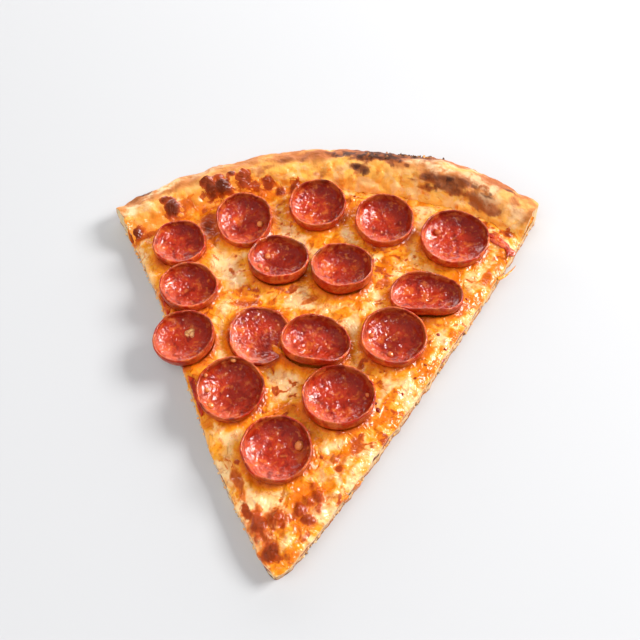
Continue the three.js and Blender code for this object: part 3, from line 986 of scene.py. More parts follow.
@dataclass(frozen=True)
class CupMesh:
    """The detailed mesh of one cup."""

    cup: Cup
    seed: int
    charring: Charring
    pool: float
    sides: int = 132
    inner_rings: int = 40
    outer_rings: int = 24
    brim_rings: int = 6
    dimple: float = 0.6
    crinkle: float = 0.28
    rim_wave: float = 0.55
    outline_wave: float = 0.55
    # The bearing in degrees of the inner wall that gets painted shade; the wall opposite gets painted light.
    shaded_bearing: float = 50.0

    def rings(self) -> tuple[Array, ...]:
        """The rings from the middle of the floor over the rim to the middle underneath.

        Returns:
            For each ring its turn round the section, its offset from the middle of the wall as
            a share of the thickness, and its bulge over the brim as such a share.
        """
        inside = self.cup.even_turns(self.inner_rings, self.cup.inner_squareness)
        outside = self.cup.even_turns(self.outer_rings, self.cup.squareness)[::-1]
        brim = np.linspace(0, np.pi, self.brim_rings + 2)[1:-1]
        turns = np.concatenate([inside, np.full(len(brim), np.pi / 2), outside])
        offset = np.concatenate([np.full(len(inside), 0.5), np.cos(brim) / 2, np.full(len(outside), -0.5)])
        bulge = np.concatenate([np.zeros(len(inside)), np.sin(brim) / 2, np.zeros(len(outside))])
        return turns, offset, bulge

    def patch(self) -> Patch:
        """The cup's skin, closed at the middle of its floor and underneath."""
        cup, noise = self.cup, Noise(self.seed)
        turns, offset, bulge = self.rings()
        angles = np.linspace(0, 2 * np.pi, self.sides, endpoint=False)
        turn, angle = np.meshgrid(turns, angles, indexing="ij")
        inner, outer = (cup.section(turn, angle, s) for s in (cup.inner_squareness, cup.squareness))
        is_inner = (offset > 0)[:, None]
        run, rise, slant = (np.where(is_inner, near, far) for near, far in zip(inner, outer))
        share = run / (cup.series(angle) @ cup.radius)
        thickness = mix(cup.floor_thickness, cup.rim_thickness, share**2)
        away = thickness * offset[:, None]
        places = xyz(run * np.cos(angle), run * np.sin(angle), rise)
        is_inside = smoothstep(-0.4, 0.4, offset)[:, None]
        relief = self.dimple * noise.fractal(places, 5, 3) * (0.4 + 0.6 * is_inside)
        relief = relief + self.crinkle * noise.fractal(places + 50, 1.8, 2) * is_inside
        away = away + relief * mix(1.0, 0.35, smoothstep(0.85, 1.0, share))
        around = xyz(np.cos(angle), np.sin(angle)) * 9
        wave = self.rim_wave * noise.fractal(around, 6, 3)
        outline = self.outline_wave * noise.fractal(around + 70, 10, 2)
        rise = rise + away * np.cos(slant) + thickness * bulge[:, None] + wave * share**6
        run = np.maximum(run - away * np.sin(slant), 0) + 0.4 * wave * share**6 + outline * share**3
        run = np.where(share < 1e-6, 0, run)
        rise = np.where(share < 1e-6, rise[:, :1], rise)
        local = xyz(run * np.cos(angle), run * np.sin(angle), rise)
        marks = self.marks(share, angle, is_inside, places)
        return Patch(local @ cup.axes + cup.foot, marks, closed=True)

    def marks(self, share: Array, angle: Array, is_inside: Array, places: Array) -> Marks:
        """The marks that the finish reads, with painted shade on the inner wall towards the shaded bearing
        and painted light on the wall opposite.
        """
        noise = Noise(self.seed)
        edge = smoothstep(0.955, 1.0, share) * (1 - np.abs(2 * is_inside - 1) * 0.5)
        spots = smoothstep(0.0, 0.6, noise.fractal(places + 90, 6, 3))
        facing = np.cos(angle - math.radians(self.shaded_bearing))
        uneven = 0.35 * noise.fractal(places + 130, 7, 3)
        steep = smoothstep(0.3, 0.9, share)
        return {
            "middle": smoothstep(0.65, 0.15, share + uneven) * is_inside * self.pool,
            # inner: painted shade, deep red on the inner wall that faces away from the key light
            "inner": steep * smoothstep(-0.5, 0.9, facing + uneven) * is_inside,
            # lit: painted light, a rosy tone on the inner wall that faces the key light
            "lit": steep * smoothstep(0.1, 0.9, uneven - facing) * is_inside,
            "outside": (1 - is_inside) * np.ones_like(share),
            "foot": (1 - is_inside) * smoothstep(1.0, 0.86, share),
            "edge": edge,
            "char": edge * spots * self.charring.value,
        }


@dataclass
class Pepperoni:
    """All the pepperoni: whole slices curled into cups, and what the wheel left of others."""

    nodes: dict[str, bpy.types.Object]
    cups: dict[str, Cup] = field(init=False)
    darkest: tuple[int, ...] = (3, 6, 7, 14)
    deepest: tuple[int, ...] = (2, 6, 10, 14)
    deep_pool: float = 0.9
    shallow_pool: float = 0.35
    first_seed: int = 199
    offcut_voxel: float = 0.45
    offcut_wear: float = 0.25

    def __post_init__(self) -> None:
        """Measures the cups."""
        names = sorted(n for n in self.nodes if n.startswith("pepperoni_cup"))
        self.cups = {name: Cup.measured(self.nodes[name]) for name in names}

    def offcuts(self) -> list[str]:
        """The names of the offcuts' nodes."""
        return sorted(n for n in self.nodes if n.startswith("pepperoni_offcut"))

    def build(self, finish: CuredPepperoni) -> None:
        """Makes and dresses every cup and offcut."""
        material = finish.material()
        for number, (name, cup) in enumerate(self.cups.items(), start=1):
            charring = Charring.DARK if number in self.darkest else Charring.LIGHT
            pool = self.deep_pool if number in self.deepest else self.shallow_pool
            mesh = CupMesh(cup, self.first_seed + number, charring, pool)
            piece = make_object(name.replace("cup", "cup_baked"), [mesh.patch()], material, weld=True)
            settle(piece, Slot.PEPPERONI, name)
        for name in self.offcuts():
            self.build_offcut(name, material)

    def build_offcut(self, name: str, material: Material) -> None:
        """Softens a clipped disc into a worn scrap of meat."""
        piece = self.nodes[name].copy()
        piece.data = self.nodes[name].data.copy()
        piece.name = name.replace("offcut", "scrap")
        for key in list(piece.keys()):
            del piece[key]
        bpy.context.scene.collection.objects.link(piece)
        remesh = piece.modifiers.new("even", "REMESH")
        remesh.mode = "VOXEL"
        remesh.voxel_size = self.offcut_voxel * MM
        smooth = piece.modifiers.new("soft", "SMOOTH")
        smooth.iterations = 3
        graph = bpy.context.evaluated_depsgraph_get()
        mesh = bpy.data.meshes.new_from_object(piece.evaluated_get(graph))
        piece.modifiers.clear()
        piece.data = mesh
        points = np.array([v.co for v in mesh.vertices]) / MM
        normals = np.array([v.normal for v in mesh.vertices])
        points = points + normals * (self.offcut_wear * Noise(7).fractal(points, 3, 2))[:, None]
        mesh.vertices.foreach_set("co", (points * MM).astype(np.float32).ravel())
        mesh.shade_smooth()
        mesh.materials.clear()
        mesh.materials.append(material)
        settle(piece, Slot.PEPPERONI, name)


# ---- Sauce and cheese ----


@dataclass(frozen=True)
class Blister:
    """A dome that rose in the cheese: its middle from the tip, radius, height and browning."""

    x: float
    y: float
    radius: float
    height: float
    toast: float = 0.0
    char: float = 0.0


class Tint(Enum):
    """What a splash on the cheese is."""

    CREAM = "cream"
    GOLD = "gold"
    OIL = "oil"
    STAIN = "stain"
    TOAST = "toast"


CREAM, GOLD, OIL, STAIN, TOAST = Tint


@dataclass(frozen=True)
class Splash:
    """A patch of one tint on the cheese: its middle from the tip, its length and width, the
    bearing of its length in degrees, and its strength."""

    tint: Tint
    x: float
    y: float
    length: float
    width: float
    bearing: float = 0.0
    strength: float = 1.0


def near_to(patch: Blister | Splash, x: Array, y: Array, reach: float) -> tuple[Array, Array, Array]:
    """Which places are within reach of a patch's middle, and how far east and north of it."""
    near = (np.abs(x - patch.x) < reach) & (np.abs(y - patch.y) < reach)
    return near, x[near] - patch.x, y[near] - patch.y


@dataclass
class Sheet:
    """A grid over the slice's plan whose edges turn down at the two cuts and at the tip."""

    plan: Plan
    columns: int
    rows: int
    skirt: int

    def shares(self, last: Array) -> tuple[Array, ...]:
        """The grid's places.

        Args:
            last: a function of the share across, giving the last row's distance from the tip.

        Returns:
            The share across, the distance from the tip, and the share of the way down the
            skirt, which is 0 on the sheet itself.
        """
        j, i = np.meshgrid(
            np.arange(-self.skirt, self.rows + 1),
            np.arange(-self.skirt, self.columns + self.skirt + 1),
            indexing="ij",
        )
        across = np.clip(i / self.columns, 0, 1)
        along = np.clip(j / self.rows, 0, 1)
        beyond = np.maximum.reduce([-i, i - self.columns, -j, np.zeros_like(i)])
        return across, along * last(across), beyond / self.skirt

    def outward(self, across: Array, distance: Array) -> Array:
        """The level direction that leads out of the sheet's nearest edge."""
        sides = self.plan.outward(across)
        at_side = ((across == 0) | (across == 1))[..., None]
        at_tip = (distance == 0)[..., None]
        direction = sides * at_side + np.array([0.0, -1.0, 0.0]) * at_tip
        return direction / np.maximum(np.linalg.norm(direction, axis=-1, keepdims=True), 1e-9)


@dataclass
class Sauce:
    """The thin layer of tomato between the dough and the cheese."""

    dough: Dough
    floor_gap: float = 0.1
    thickness: float = 1.3
    slope_inset: float = 25.0
    noise: Noise = field(default_factory=lambda: Noise(23))

    def build(self, finish: CookedTomato) -> None:
        """Makes the layer, ragged where it was cut through, and dresses it."""
        plan, tip = self.dough.plan, self.dough.tip
        sheet = Sheet(plan, 60, 150, 3)
        across, distance, down = sheet.shares(lambda u: plan.reach(u) - self.slope_inset)
        x, y = plan.from_tip(across, distance)
        floor = self.dough.top_height(across, plan.reach(across) - distance) + self.floor_gap
        places = xyz(x, y)
        top = floor + self.thickness + 0.15 * self.noise.fractal(places, 5, 2)
        points = xyz(x, y, mix(top, floor - 0.2, down)) + tip
        ragged = 0.1 + 0.5 * self.noise.fractal(places, 4, 3)
        bulge = np.sin(np.pi * down) * 0.4 + ragged
        points = points + sheet.outward(across, distance) * bulge[..., None]
        settle(make_object("tomato_sauce", [Patch(points)], finish.material()), Slot.SAUCE, "sauce")


@dataclass
class Cheese:
    """The melted cheese: a sheet that follows the dough, seats the pepperoni and has run over
    the cuts a little."""

    dough: Dough
    pepperoni: Pepperoni
    top: float = 8.8
    thickness: float = 3.0
    columns: int = 250
    rows: int = 300
    skirt: int = 7
    meniscus_height: float = 1.3
    meniscus_width: float = 1.5
    climb_limit: float = 3.2
    climb_width: float = 2.2
    seat_depth: float = 2.2
    small_blisters: int = 140
    edge_rounding: float = 1.6
    edge_drop: float = 1.3
    run_down: tuple[float, float] = (1.8, 2.6)
    noise: Noise = field(default_factory=lambda: Noise(37))
    blisters: tuple[Blister, ...] = listed(
        Blister,
        (-55.4, 183.0, 4.0, 1.5, 0.9, 0.7), (-53.0, 180.0, 3.8, 1.5, 0.9, 0.1),
        (-50.4, 176.4, 3.4, 1.0, 1.0, 0.2), (-45.6, 178.6, 4.2, 1.4, 1.0, 0.5),
        (-41.7, 185.4, 2.4, 0.8, 1.0, 0.3), (-48.0, 183.0, 3.0, 0.9, 0.7), (-35.3, 183.7, 4.2, 0.8, 0.75),
        (-30.0, 182.4, 2.4, 0.7, 0.6), (-24.4, 184.4, 2.8, 0.5, 0.8), (-27.0, 180.4, 2.2, 0.8, 0.3),
        (-18.3, 182.0, 2.8, 1.3, 0.7, 0.35), (-11.0, 184.6, 3.6, 1.9, 0.7, 0.15),
        (-67.2, 165.8, 4.4, 1.2, 1.0, 0.45), (-71.0, 168.0, 2.6, 0.7, 0.9, 0.2),
        (-81.6, 151.5, 3.0, 0.8, 0.9, 0.3), (89.7, 167.1, 2.6, 0.8, 0.8, 0.1),
        (16.3, 179.9, 3.2, 1.5, 0.25), (-2.2, 7.2, 3.4, 1.2, 0.8, 0.2), (2.8, 9.6, 4.0, 1.8),
        (3.4, 15.0, 4.6, 1.8, 0.1), (18.6, 47.0, 2.6, 1.4, 0.45), (13.3, 30.6, 3.4, 2.0, 0.6),
        (9.4, 28.4, 2.6, 1.5, 0.4), (6.9, 24.9, 3.4, 1.9, 0.6), (11.6, 34.6, 2.4, 1.3, 0.35),
        (-1.2, 20.9, 4.0, 1.7, 0.5), (-7.6, 17.6, 4.2, 1.5, 0.65, 0.1), (-4.4, 13.6, 3.2, 1.0, 0.4),
        (9.8, 21.0, 2.8, 1.4, 0.6, 0.2), (20.0, 33.0, 4.4, 1.6, 0.1), (24.0, 39.0, 4.0, 1.4, 0.1),
        (-10.5, 28.0, 5.0, 1.4), (-15.5, 34.0, 4.4, 1.3), (16.5, 40.5, 4.6, 1.4),
        (1.5, 31.5, 3.6, 1.1, 0.15),
    )
    splashes: tuple[Splash, ...] = listed(
        Splash,
        (CREAM, -38.3, 136.8, 18, 10, 20), (CREAM, -32.1, 128, 14, 8, 60), (CREAM, -2.7, 119, 20, 8, 90),
        (CREAM, 21.1, 109.7, 14, 7, 0), (CREAM, -9.7, 28.6, 13, 9, 60), (CREAM, -18.3, 36, 14, 9, 0),
        (CREAM, -23, 51.6, 18, 8, -20), (CREAM, -6, 82, 16, 8, 60), (CREAM, 40.1, 87, 16, 7, 30),
        (OIL, 82.0, 143.0, 16, 7, 30, 0.7), (CREAM, 36.8, 124.7, 12, 8, 0),
        (CREAM, 61, 112, 12, 4, 30, 0.8), (CREAM, 27, 38.5, 12, 7, 30),
        (CREAM, 14.2, 38.6, 9, 5, 20, 0.7), (CREAM, -72.5, 131, 16, 5, -28, 0.8),
        (CREAM, 0, 85, 10, 6, 60), (CREAM, 36.7, 78, 18, 5, 33), (OIL, -46.6, 149.3, 9, 6, 0),
        (OIL, -25.0, 117.5, 22, 8, 90, 1.0), (GOLD, -11.5, 121, 9, 7, 0),
        (OIL, 15.9, 115, 12, 6, 60, 0.7), (OIL, 23.4, 121, 7, 5, 0, 0.9), (OIL, 34, 143, 12, 9, 0, 0.9),
        (GOLD, 18.9, 43.2, 14, 8, 60), (OIL, 22.6, 51.2, 9, 5, 30, 0.8),
        (OIL, -27.4, 168, 20, 9, 80, 1.0), (OIL, -66, 158, 26, 9, 60, 0.9), (GOLD, 54, 133, 14, 10, 0),
        (OIL, 0, 4, 12, 10, 0, 0.8), (CREAM, 3.4, 11.5, 10, 5, 40, 0.9),
        (STAIN, -5.5, 12.5, 10, 4, -30, 0.8), (STAIN, 2.4, 20.6, 14, 4, 60, 0.8),
        (STAIN, -8.5, 20, 12, 5, -20, 0.9), (STAIN, 12, 29, 15, 4, 45, 0.8), (OIL, 8, 52, 14, 5, 60, 0.8),
        (OIL, 38, 74, 20, 4, 33, 0.8), (OIL, 62, 118, 30, 4, 33, 0.6), (OIL, 86, 152, 14, 7, 20, 0.9),
        (STAIN, 79.5, 140.5, 12, 4.5, 20, 0.75), (STAIN, 72.0, 151.5, 10, 3, 60, 0.7),
        (OIL, 74, 128, 18, 5, 30, 0.9), (STAIN, 69, 122, 12, 3, 30, 0.7), (OIL, 52, 96, 16, 5, 30, 0.8),
        (STAIN, -34.7, 133.8, 5, 1.6, -40, 0.8), (STAIN, -43.5, 140.9, 6, 1.4, -50, 0.7),
        (STAIN, -25.0, 117.2, 18, 4, 85, 0.9), (STAIN, 13.2, 125.5, 7, 5, 20, 0.9),
        (STAIN, 32.9, 133.1, 9, 5, 40, 0.8), (STAIN, 27.0, 53.5, 11, 6, 20, 0.9),
        (OIL, 16, 34, 12, 6, 50, 0.8), (STAIN, -4, 20.5, 14, 6, 80, 0.8), (OIL, 7, 18, 10, 7, 30, 0.9),
        (STAIN, -18.7, 34, 16, 5, -28, 0.8), (TOAST, -13.5, 22.2, 8, 4, -28, 0.7),
        (TOAST, -49, 158.5, 8, 5, -10, 0.8), (STAIN, -48.5, 158.5, 15, 10, -10, 1.0),
        (STAIN, -53.8, 150.4, 8, 4, 20, 0.8), (STAIN, -48.4, 103, 12, 5, 90, 0.9),
        (STAIN, 2, 121, 10, 3, 60, 0.7), (STAIN, -40, 172, 26, 5, 80, 0.7),
        (STAIN, -58, 172, 20, 6, 60, 0.7), (STAIN, -76, 152, 20, 5, 60, 0.9),
    )

    def slope_inset(self, across: Array) -> Array:
        """How near to the outer edge the cheese has crept up the rim."""
        places = xyz(across * 190, 0)
        wander = self.noise.fractal(places, 14, 3)
        return mix(12.5, 20.0, smoothstep(0.36, 0.5, across)) + 2.2 * wander

    def pattern(self, x: Array, y: Array) -> Marks:
        """How the cheese has flowed: its swells, the oil on it, and its stains."""
        places = xyz(x, y)
        drift_x = 4.0 * self.noise.fractal(places + 300, 11, 3)
        drift_y = 4.0 * self.noise.fractal(places + 600, 11, 3)
        moved = xyz(x + drift_x, y + drift_y)
        broad = self.noise.fractal(moved + 90, 15, 4)
        folds = self.noise.fractal(moved + 40, 6, 3)
        stretched = xyz(x * 0.45 + 1.6 * drift_x, y + 1.6 * drift_y)
        wisps = self.noise.fractal(stretched, 3.2, 3)
        crowd = smoothstep(-0.25, 0.3, self.noise.fractal(places + 500, 17, 2))
        gold = smoothstep(-0.4, 0.25, broad + 0.4 * folds)
        oil = smoothstep(-0.06, 0.56, broad + 0.55 * folds + 0.2 * smoothstep(35, 75, x))
        thread = np.clip(1 - np.abs(self.noise.fractal(stretched + 70, 5.5, 3)) / 0.16, 0, 1)
        stain = np.maximum(smoothstep(0.12, 0.42, wisps) * crowd, 0.55 * thread * (1 - crowd))
        return {"gold": gold, "oil": oil, "stain": stain, "broad": broad, "dome": 0.5 - folds}

    def scattered(self) -> list[Blister]:
        """Small blisters strewn over the cheese, thicker towards the tip."""
        draw = np.random.default_rng(5)
        found = []
        for _ in range(self.small_blisters):
            across, distance = draw.uniform(0.03, 0.97), draw.uniform(6, 176)
            x, y = self.dough.plan.from_tip(np.array(across), np.array(distance))
            near_tip = float(smoothstep(80, 20, np.array(distance)))
            size = draw.uniform(0.7, 1.5) + near_tip * draw.uniform(0, 1.1)
            toast = float(draw.uniform(0, 1) < 0.12 + 0.2 * near_tip) * draw.uniform(0.3, 0.6)
            found.append(Blister(float(x), float(y), size, size * draw.uniform(0.2, 0.35), toast))
        return found

    def surface(self, across: Array, distance: Array) -> tuple[Array, Marks]:
        """The heights of the cheese, with its marks, over grids of across and distance."""
        plan, tip = self.dough.plan, self.dough.tip
        reach = plan.reach(across)
        inset = reach - distance
        x, y = plan.from_tip(across, distance)
        flow = self.pattern(x, y)
        floor = self.dough.top_height(across, inset)
        thinning = smoothstep(28, 20, inset)
        margin = self.slope_inset(across)
        left = smoothstep(margin - 1.0, margin + 5.0, inset)
        body = mix(self.thickness + 1.6, 0.9, thinning)
        relief = 0.7 * flow["broad"] + 1.1 * flow["dome"] - 0.5
        relief = relief + 0.25 * self.noise.fractal(xyz(x, y) + 700, 3.2, 2)
        height = floor + mix(-0.9, body + relief * mix(1.0, 0.6, thinning), left)
        marks = {name: flow[name] for name in ("gold", "oil", "stain")}
        marks["toast"] = np.zeros_like(x)
        marks["char"] = np.zeros_like(x)
        marks["oil"] = np.maximum(marks["oil"], thinning * 0.5)
        for blister in [*self.scattered(), *self.blisters]:
            self.raise_blister(blister, x, y, height, thinning, marks)
        for splash in self.splashes:
            self.tint(splash, x, y, marks)
        self.seat_cups(x + tip[0], y + tip[1], height, marks)
        self.seat_offcuts(x + tip[0], y + tip[1], height)
        cut = plan.from_cut(across, distance)
        height = height - self.edge_drop * fading(np.minimum(cut, distance), self.edge_rounding, 1.5)
        return height, {name: np.clip(value, 0, 1) for name, value in marks.items()}

    def raise_blister(
        self, blister: Blister, x: Array, y: Array, height: Array, thinning: Array, marks: Marks
    ) -> None:
        """Adds one dome to the heights and its browning to the marks, in place. Where the
        cheese thins out on the rim the dome stands on the crust."""
        near, east, north = near_to(blister, x, y, blister.radius * 2)
        wobble = 1 + 0.45 * self.noise.fractal(xyz(x[near], y[near]) + 10 * blister.radius, 3.6, 2)
        far = np.hypot(east, north) / blister.radius * wobble
        if blister.toast and thinning[near].max(initial=0) > 0.5:
            crust = self.crust_height(x[near], y[near], far < 1.6)
            height[near] = mix(height[near], np.maximum(height[near], crust), smoothstep(1.5, 1.05, far))
        height[near] += blister.height * smoothstep(1.0, 0.15, far)
        browned = smoothstep(1.15, 0.55, far)
        raise_to(marks["toast"], near, blister.toast * browned)
        raise_to(marks["char"], near, blister.char * smoothstep(0.9, 0.3, far))
        ringed = 0.8 * blister.toast * smoothstep(1.6, 1.0, far)
        raise_to(marks["stain"], near, ringed)

    def crust_height(self, x: Array, y: Array, wanted: Array) -> Array:
        """The height of the dough's lumpy skin at each wanted place, and 0 at the others."""
        dough, down = bpy.data.objects["baked_dough"], Vector((0, 0, -1))
        heights = np.zeros_like(x)
        for i in np.flatnonzero(wanted):
            start = (np.array([x[i], y[i], ABOVE_ALL]) + self.dough.tip) * MM
            heights[i] = dough.ray_cast(Vector(start), down)[1][2] / MM
        return heights

    def tint(self, splash: Splash, x: Array, y: Array, marks: Marks) -> None:
        """Lays one splash over the marks, in place."""
        near, east, north = near_to(splash, x, y, splash.length)
        aside, along = rotated(east, north, math.radians(splash.bearing))
        wobble = 0.55 * self.noise.fractal(xyz(x[near], y[near]) + 420, 4.5, 4)
        far = np.hypot(along / splash.length, aside / splash.width) * 2 + wobble
        share = splash.strength * smoothstep(1.2, 0.55, far)
        if splash.tint is Tint.CREAM:
            marks["oil"][near] *= 1 - share
            marks["gold"][near] *= 1 - 0.8 * share
            marks["stain"][near] *= 1 - 0.7 * share
        else:
            raise_to(marks[splash.tint.value], near, share)

    def seat_cups(self, x: Array, y: Array, height: Array, marks: Marks) -> None:
        """Sinks the cheese under each cup and draws it up round the cup's wall, in place."""
        for cup in self.pepperoni.cups.values():
            local = cup.local(x, y, self.top)
            reach = np.hypot(local[..., 0], local[..., 1])
            near = reach < cup.radius[0] * 1.8
            angle = np.arctan2(local[near][:, 1], local[near][:, 0])
            wall = cup.wall_radius(angle, self.seat_depth)
            outward = reach[near] - wall
            rest = cup.foot[2] - self.seat_depth
            under = smoothstep(0.5, -0.6, outward)
            beside = fading(outward - 0.9, self.meniscus_width)
            lifted = height[near] + self.meniscus_height * beside
            slope = local[near] * (wall / np.maximum(reach[near], 1e-6))[:, None]
            base = cup.foot[2] + slope[:, 0] * cup.axes[0, 2] + slope[:, 1] * cup.axes[1, 2] + 1.5
            climb = np.clip(base - lifted, 0, self.climb_limit)
            lifted = lifted + climb * fading(outward - 0.5, self.climb_width, 1.5)
            height[near] = mix(lifted, np.minimum(lifted, rest), under)
            uneven = self.noise.fractal(xyz(x[near], y[near]) + 1100, 6, 3)
            halo = fading(outward - 0.5, (4.2 + 3 * uneven).clip(1.5), 1.5)
            raise_to(marks["oil"], near, halo)
            stained = np.exp(-((outward / (2.3 + 2 * uneven).clip(1.2)) ** 2))
            raise_to(marks["stain"], near, stained)
            # Painted shade mixed with browning: a dark ring hugging each cup's foot, cleared under the cup.
            dried = 0.9 * np.exp(-((outward / 1.6) ** 2)) * smoothstep(0.1, 0.5, uneven)
            raise_to(marks["toast"], near, dried)
            marks["toast"][near] *= 1 - under

    def seat_offcuts(self, x: Array, y: Array, height: Array) -> None:
        """Sinks the cheese under each offcut, in place."""
        for name in self.pepperoni.offcuts():
            low, high = (np.array(corner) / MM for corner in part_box(name))
            solid = bpy.data.objects[name.replace("offcut", "scrap")]
            points = np.array([v.co for v in solid.data.vertices]) / MM
            near = (x > low[0] - 2) & (x < high[0] + 2) & (y > low[1] - 2) & (y < high[1] + 2)
            places = np.stack([x[near], y[near]], axis=-1)
            apart = np.linalg.norm(places[:, None] - points[None, ::3, :2], axis=-1).min(axis=1)
            raised = height[near] + 1.1 * fading(apart - 0.6, 1.8, 2)
            height[near] = mix(np.minimum(raised, high[2] - 0.5), raised, smoothstep(-0.2, 0.7, apart))

    def build(self, finish: MeltedMozzarella) -> Material:
        """Makes the cheese and dresses it."""
        plan, tip = self.dough.plan, self.dough.tip
        sheet = Sheet(plan, self.columns, self.rows, self.skirt)
        across, distance, down = sheet.shares(lambda u: plan.reach(u) - self.dough.crown_inset - 0.5)
        height, marks = self.surface(across, distance)
        x, y = plan.from_tip(across, distance)
        places = xyz(x, y)
        droop = self.noise.fractal(places + 800, 9, 3)
        floor = self.dough.top_height(across, plan.reach(across) - distance)
        run = mix(*self.run_down, smoothstep(0.4, 0.6, across))
        low = floor - 0.7 - run * smoothstep(-0.1, 0.7, droop)
        drop = down**1.2
        side = np.sin(np.pi * np.minimum(down * 1.1, 1)) * 0.45 + 0.25
        points = xyz(x, y, mix(height, np.minimum(low, height), drop)) + tip
        cut = plan.from_cut(across, distance)
        ragged = 0.9 * self.noise.fractal(places + 900, 8, 3) * fading(cut, 2.5)
        points = points + plan.outward(across) * ragged[..., None]
        points = points + sheet.outward(across, distance) * (side * (down > 0))[..., None]
        for name in ("oil", "stain"):
            marks[name] = marks[name] * (1 - 0.7 * smoothstep(0.05, 0.4, down))
        marks["stain"] = np.clip(marks["stain"] + 0.7 * smoothstep(0.6, 1.0, down), 0, 1)
        material = finish.material()
        settle(make_object("melted_cheese", [Patch(points, marks)], material), Slot.CHEESE, "cheese")
        return material


# ---- Trimmings ----


@dataclass(frozen=True)
class Morsel:
    """A small lump: its middle in the frame, its radii along x, y and z, the bearing that its
    length is turned by in degrees, how rough its skin is, and its marks."""

    place: Array
    radii: tuple[float, float, float]
    turned: float = 0.0
    rough: float = 0.2
    marks: tuple[tuple[str, float], ...] = ()

    def patch(self, noise: Noise, rows: int = 9, columns: int = 14) -> Patch:
        """The lump's skin."""
        rise, round_it = np.meshgrid(
            np.linspace(-np.pi / 2, np.pi / 2, rows),
            np.linspace(0, 2 * np.pi, columns, endpoint=False),
            indexing="ij",
        )
        unit = xyz(np.cos(rise) * np.cos(round_it), np.cos(rise) * np.sin(round_it), np.sin(rise))
        size = 1 + self.rough * noise.fractal(unit * 1.4 + self.place, 1.2, 3)
        shaped = unit * size[..., None] * np.array(self.radii)
        x, y = rotated(shaped[..., 0], shaped[..., 1], -math.radians(self.turned))
        points = xyz(x, y, shaped[..., 2]) + self.place
        return Patch(points, {name: np.full(rise.shape, value) for name, value in self.marks}, closed=True)


@dataclass(frozen=True)
class Bead:
    """A bead in a cup or on its rim: the cup's number, the angle round it in degrees, the share
    of the way out, the radius, and how red it is."""

    cup: int
    degrees: float
    share: float
    radius: float
    red: float = 0.0


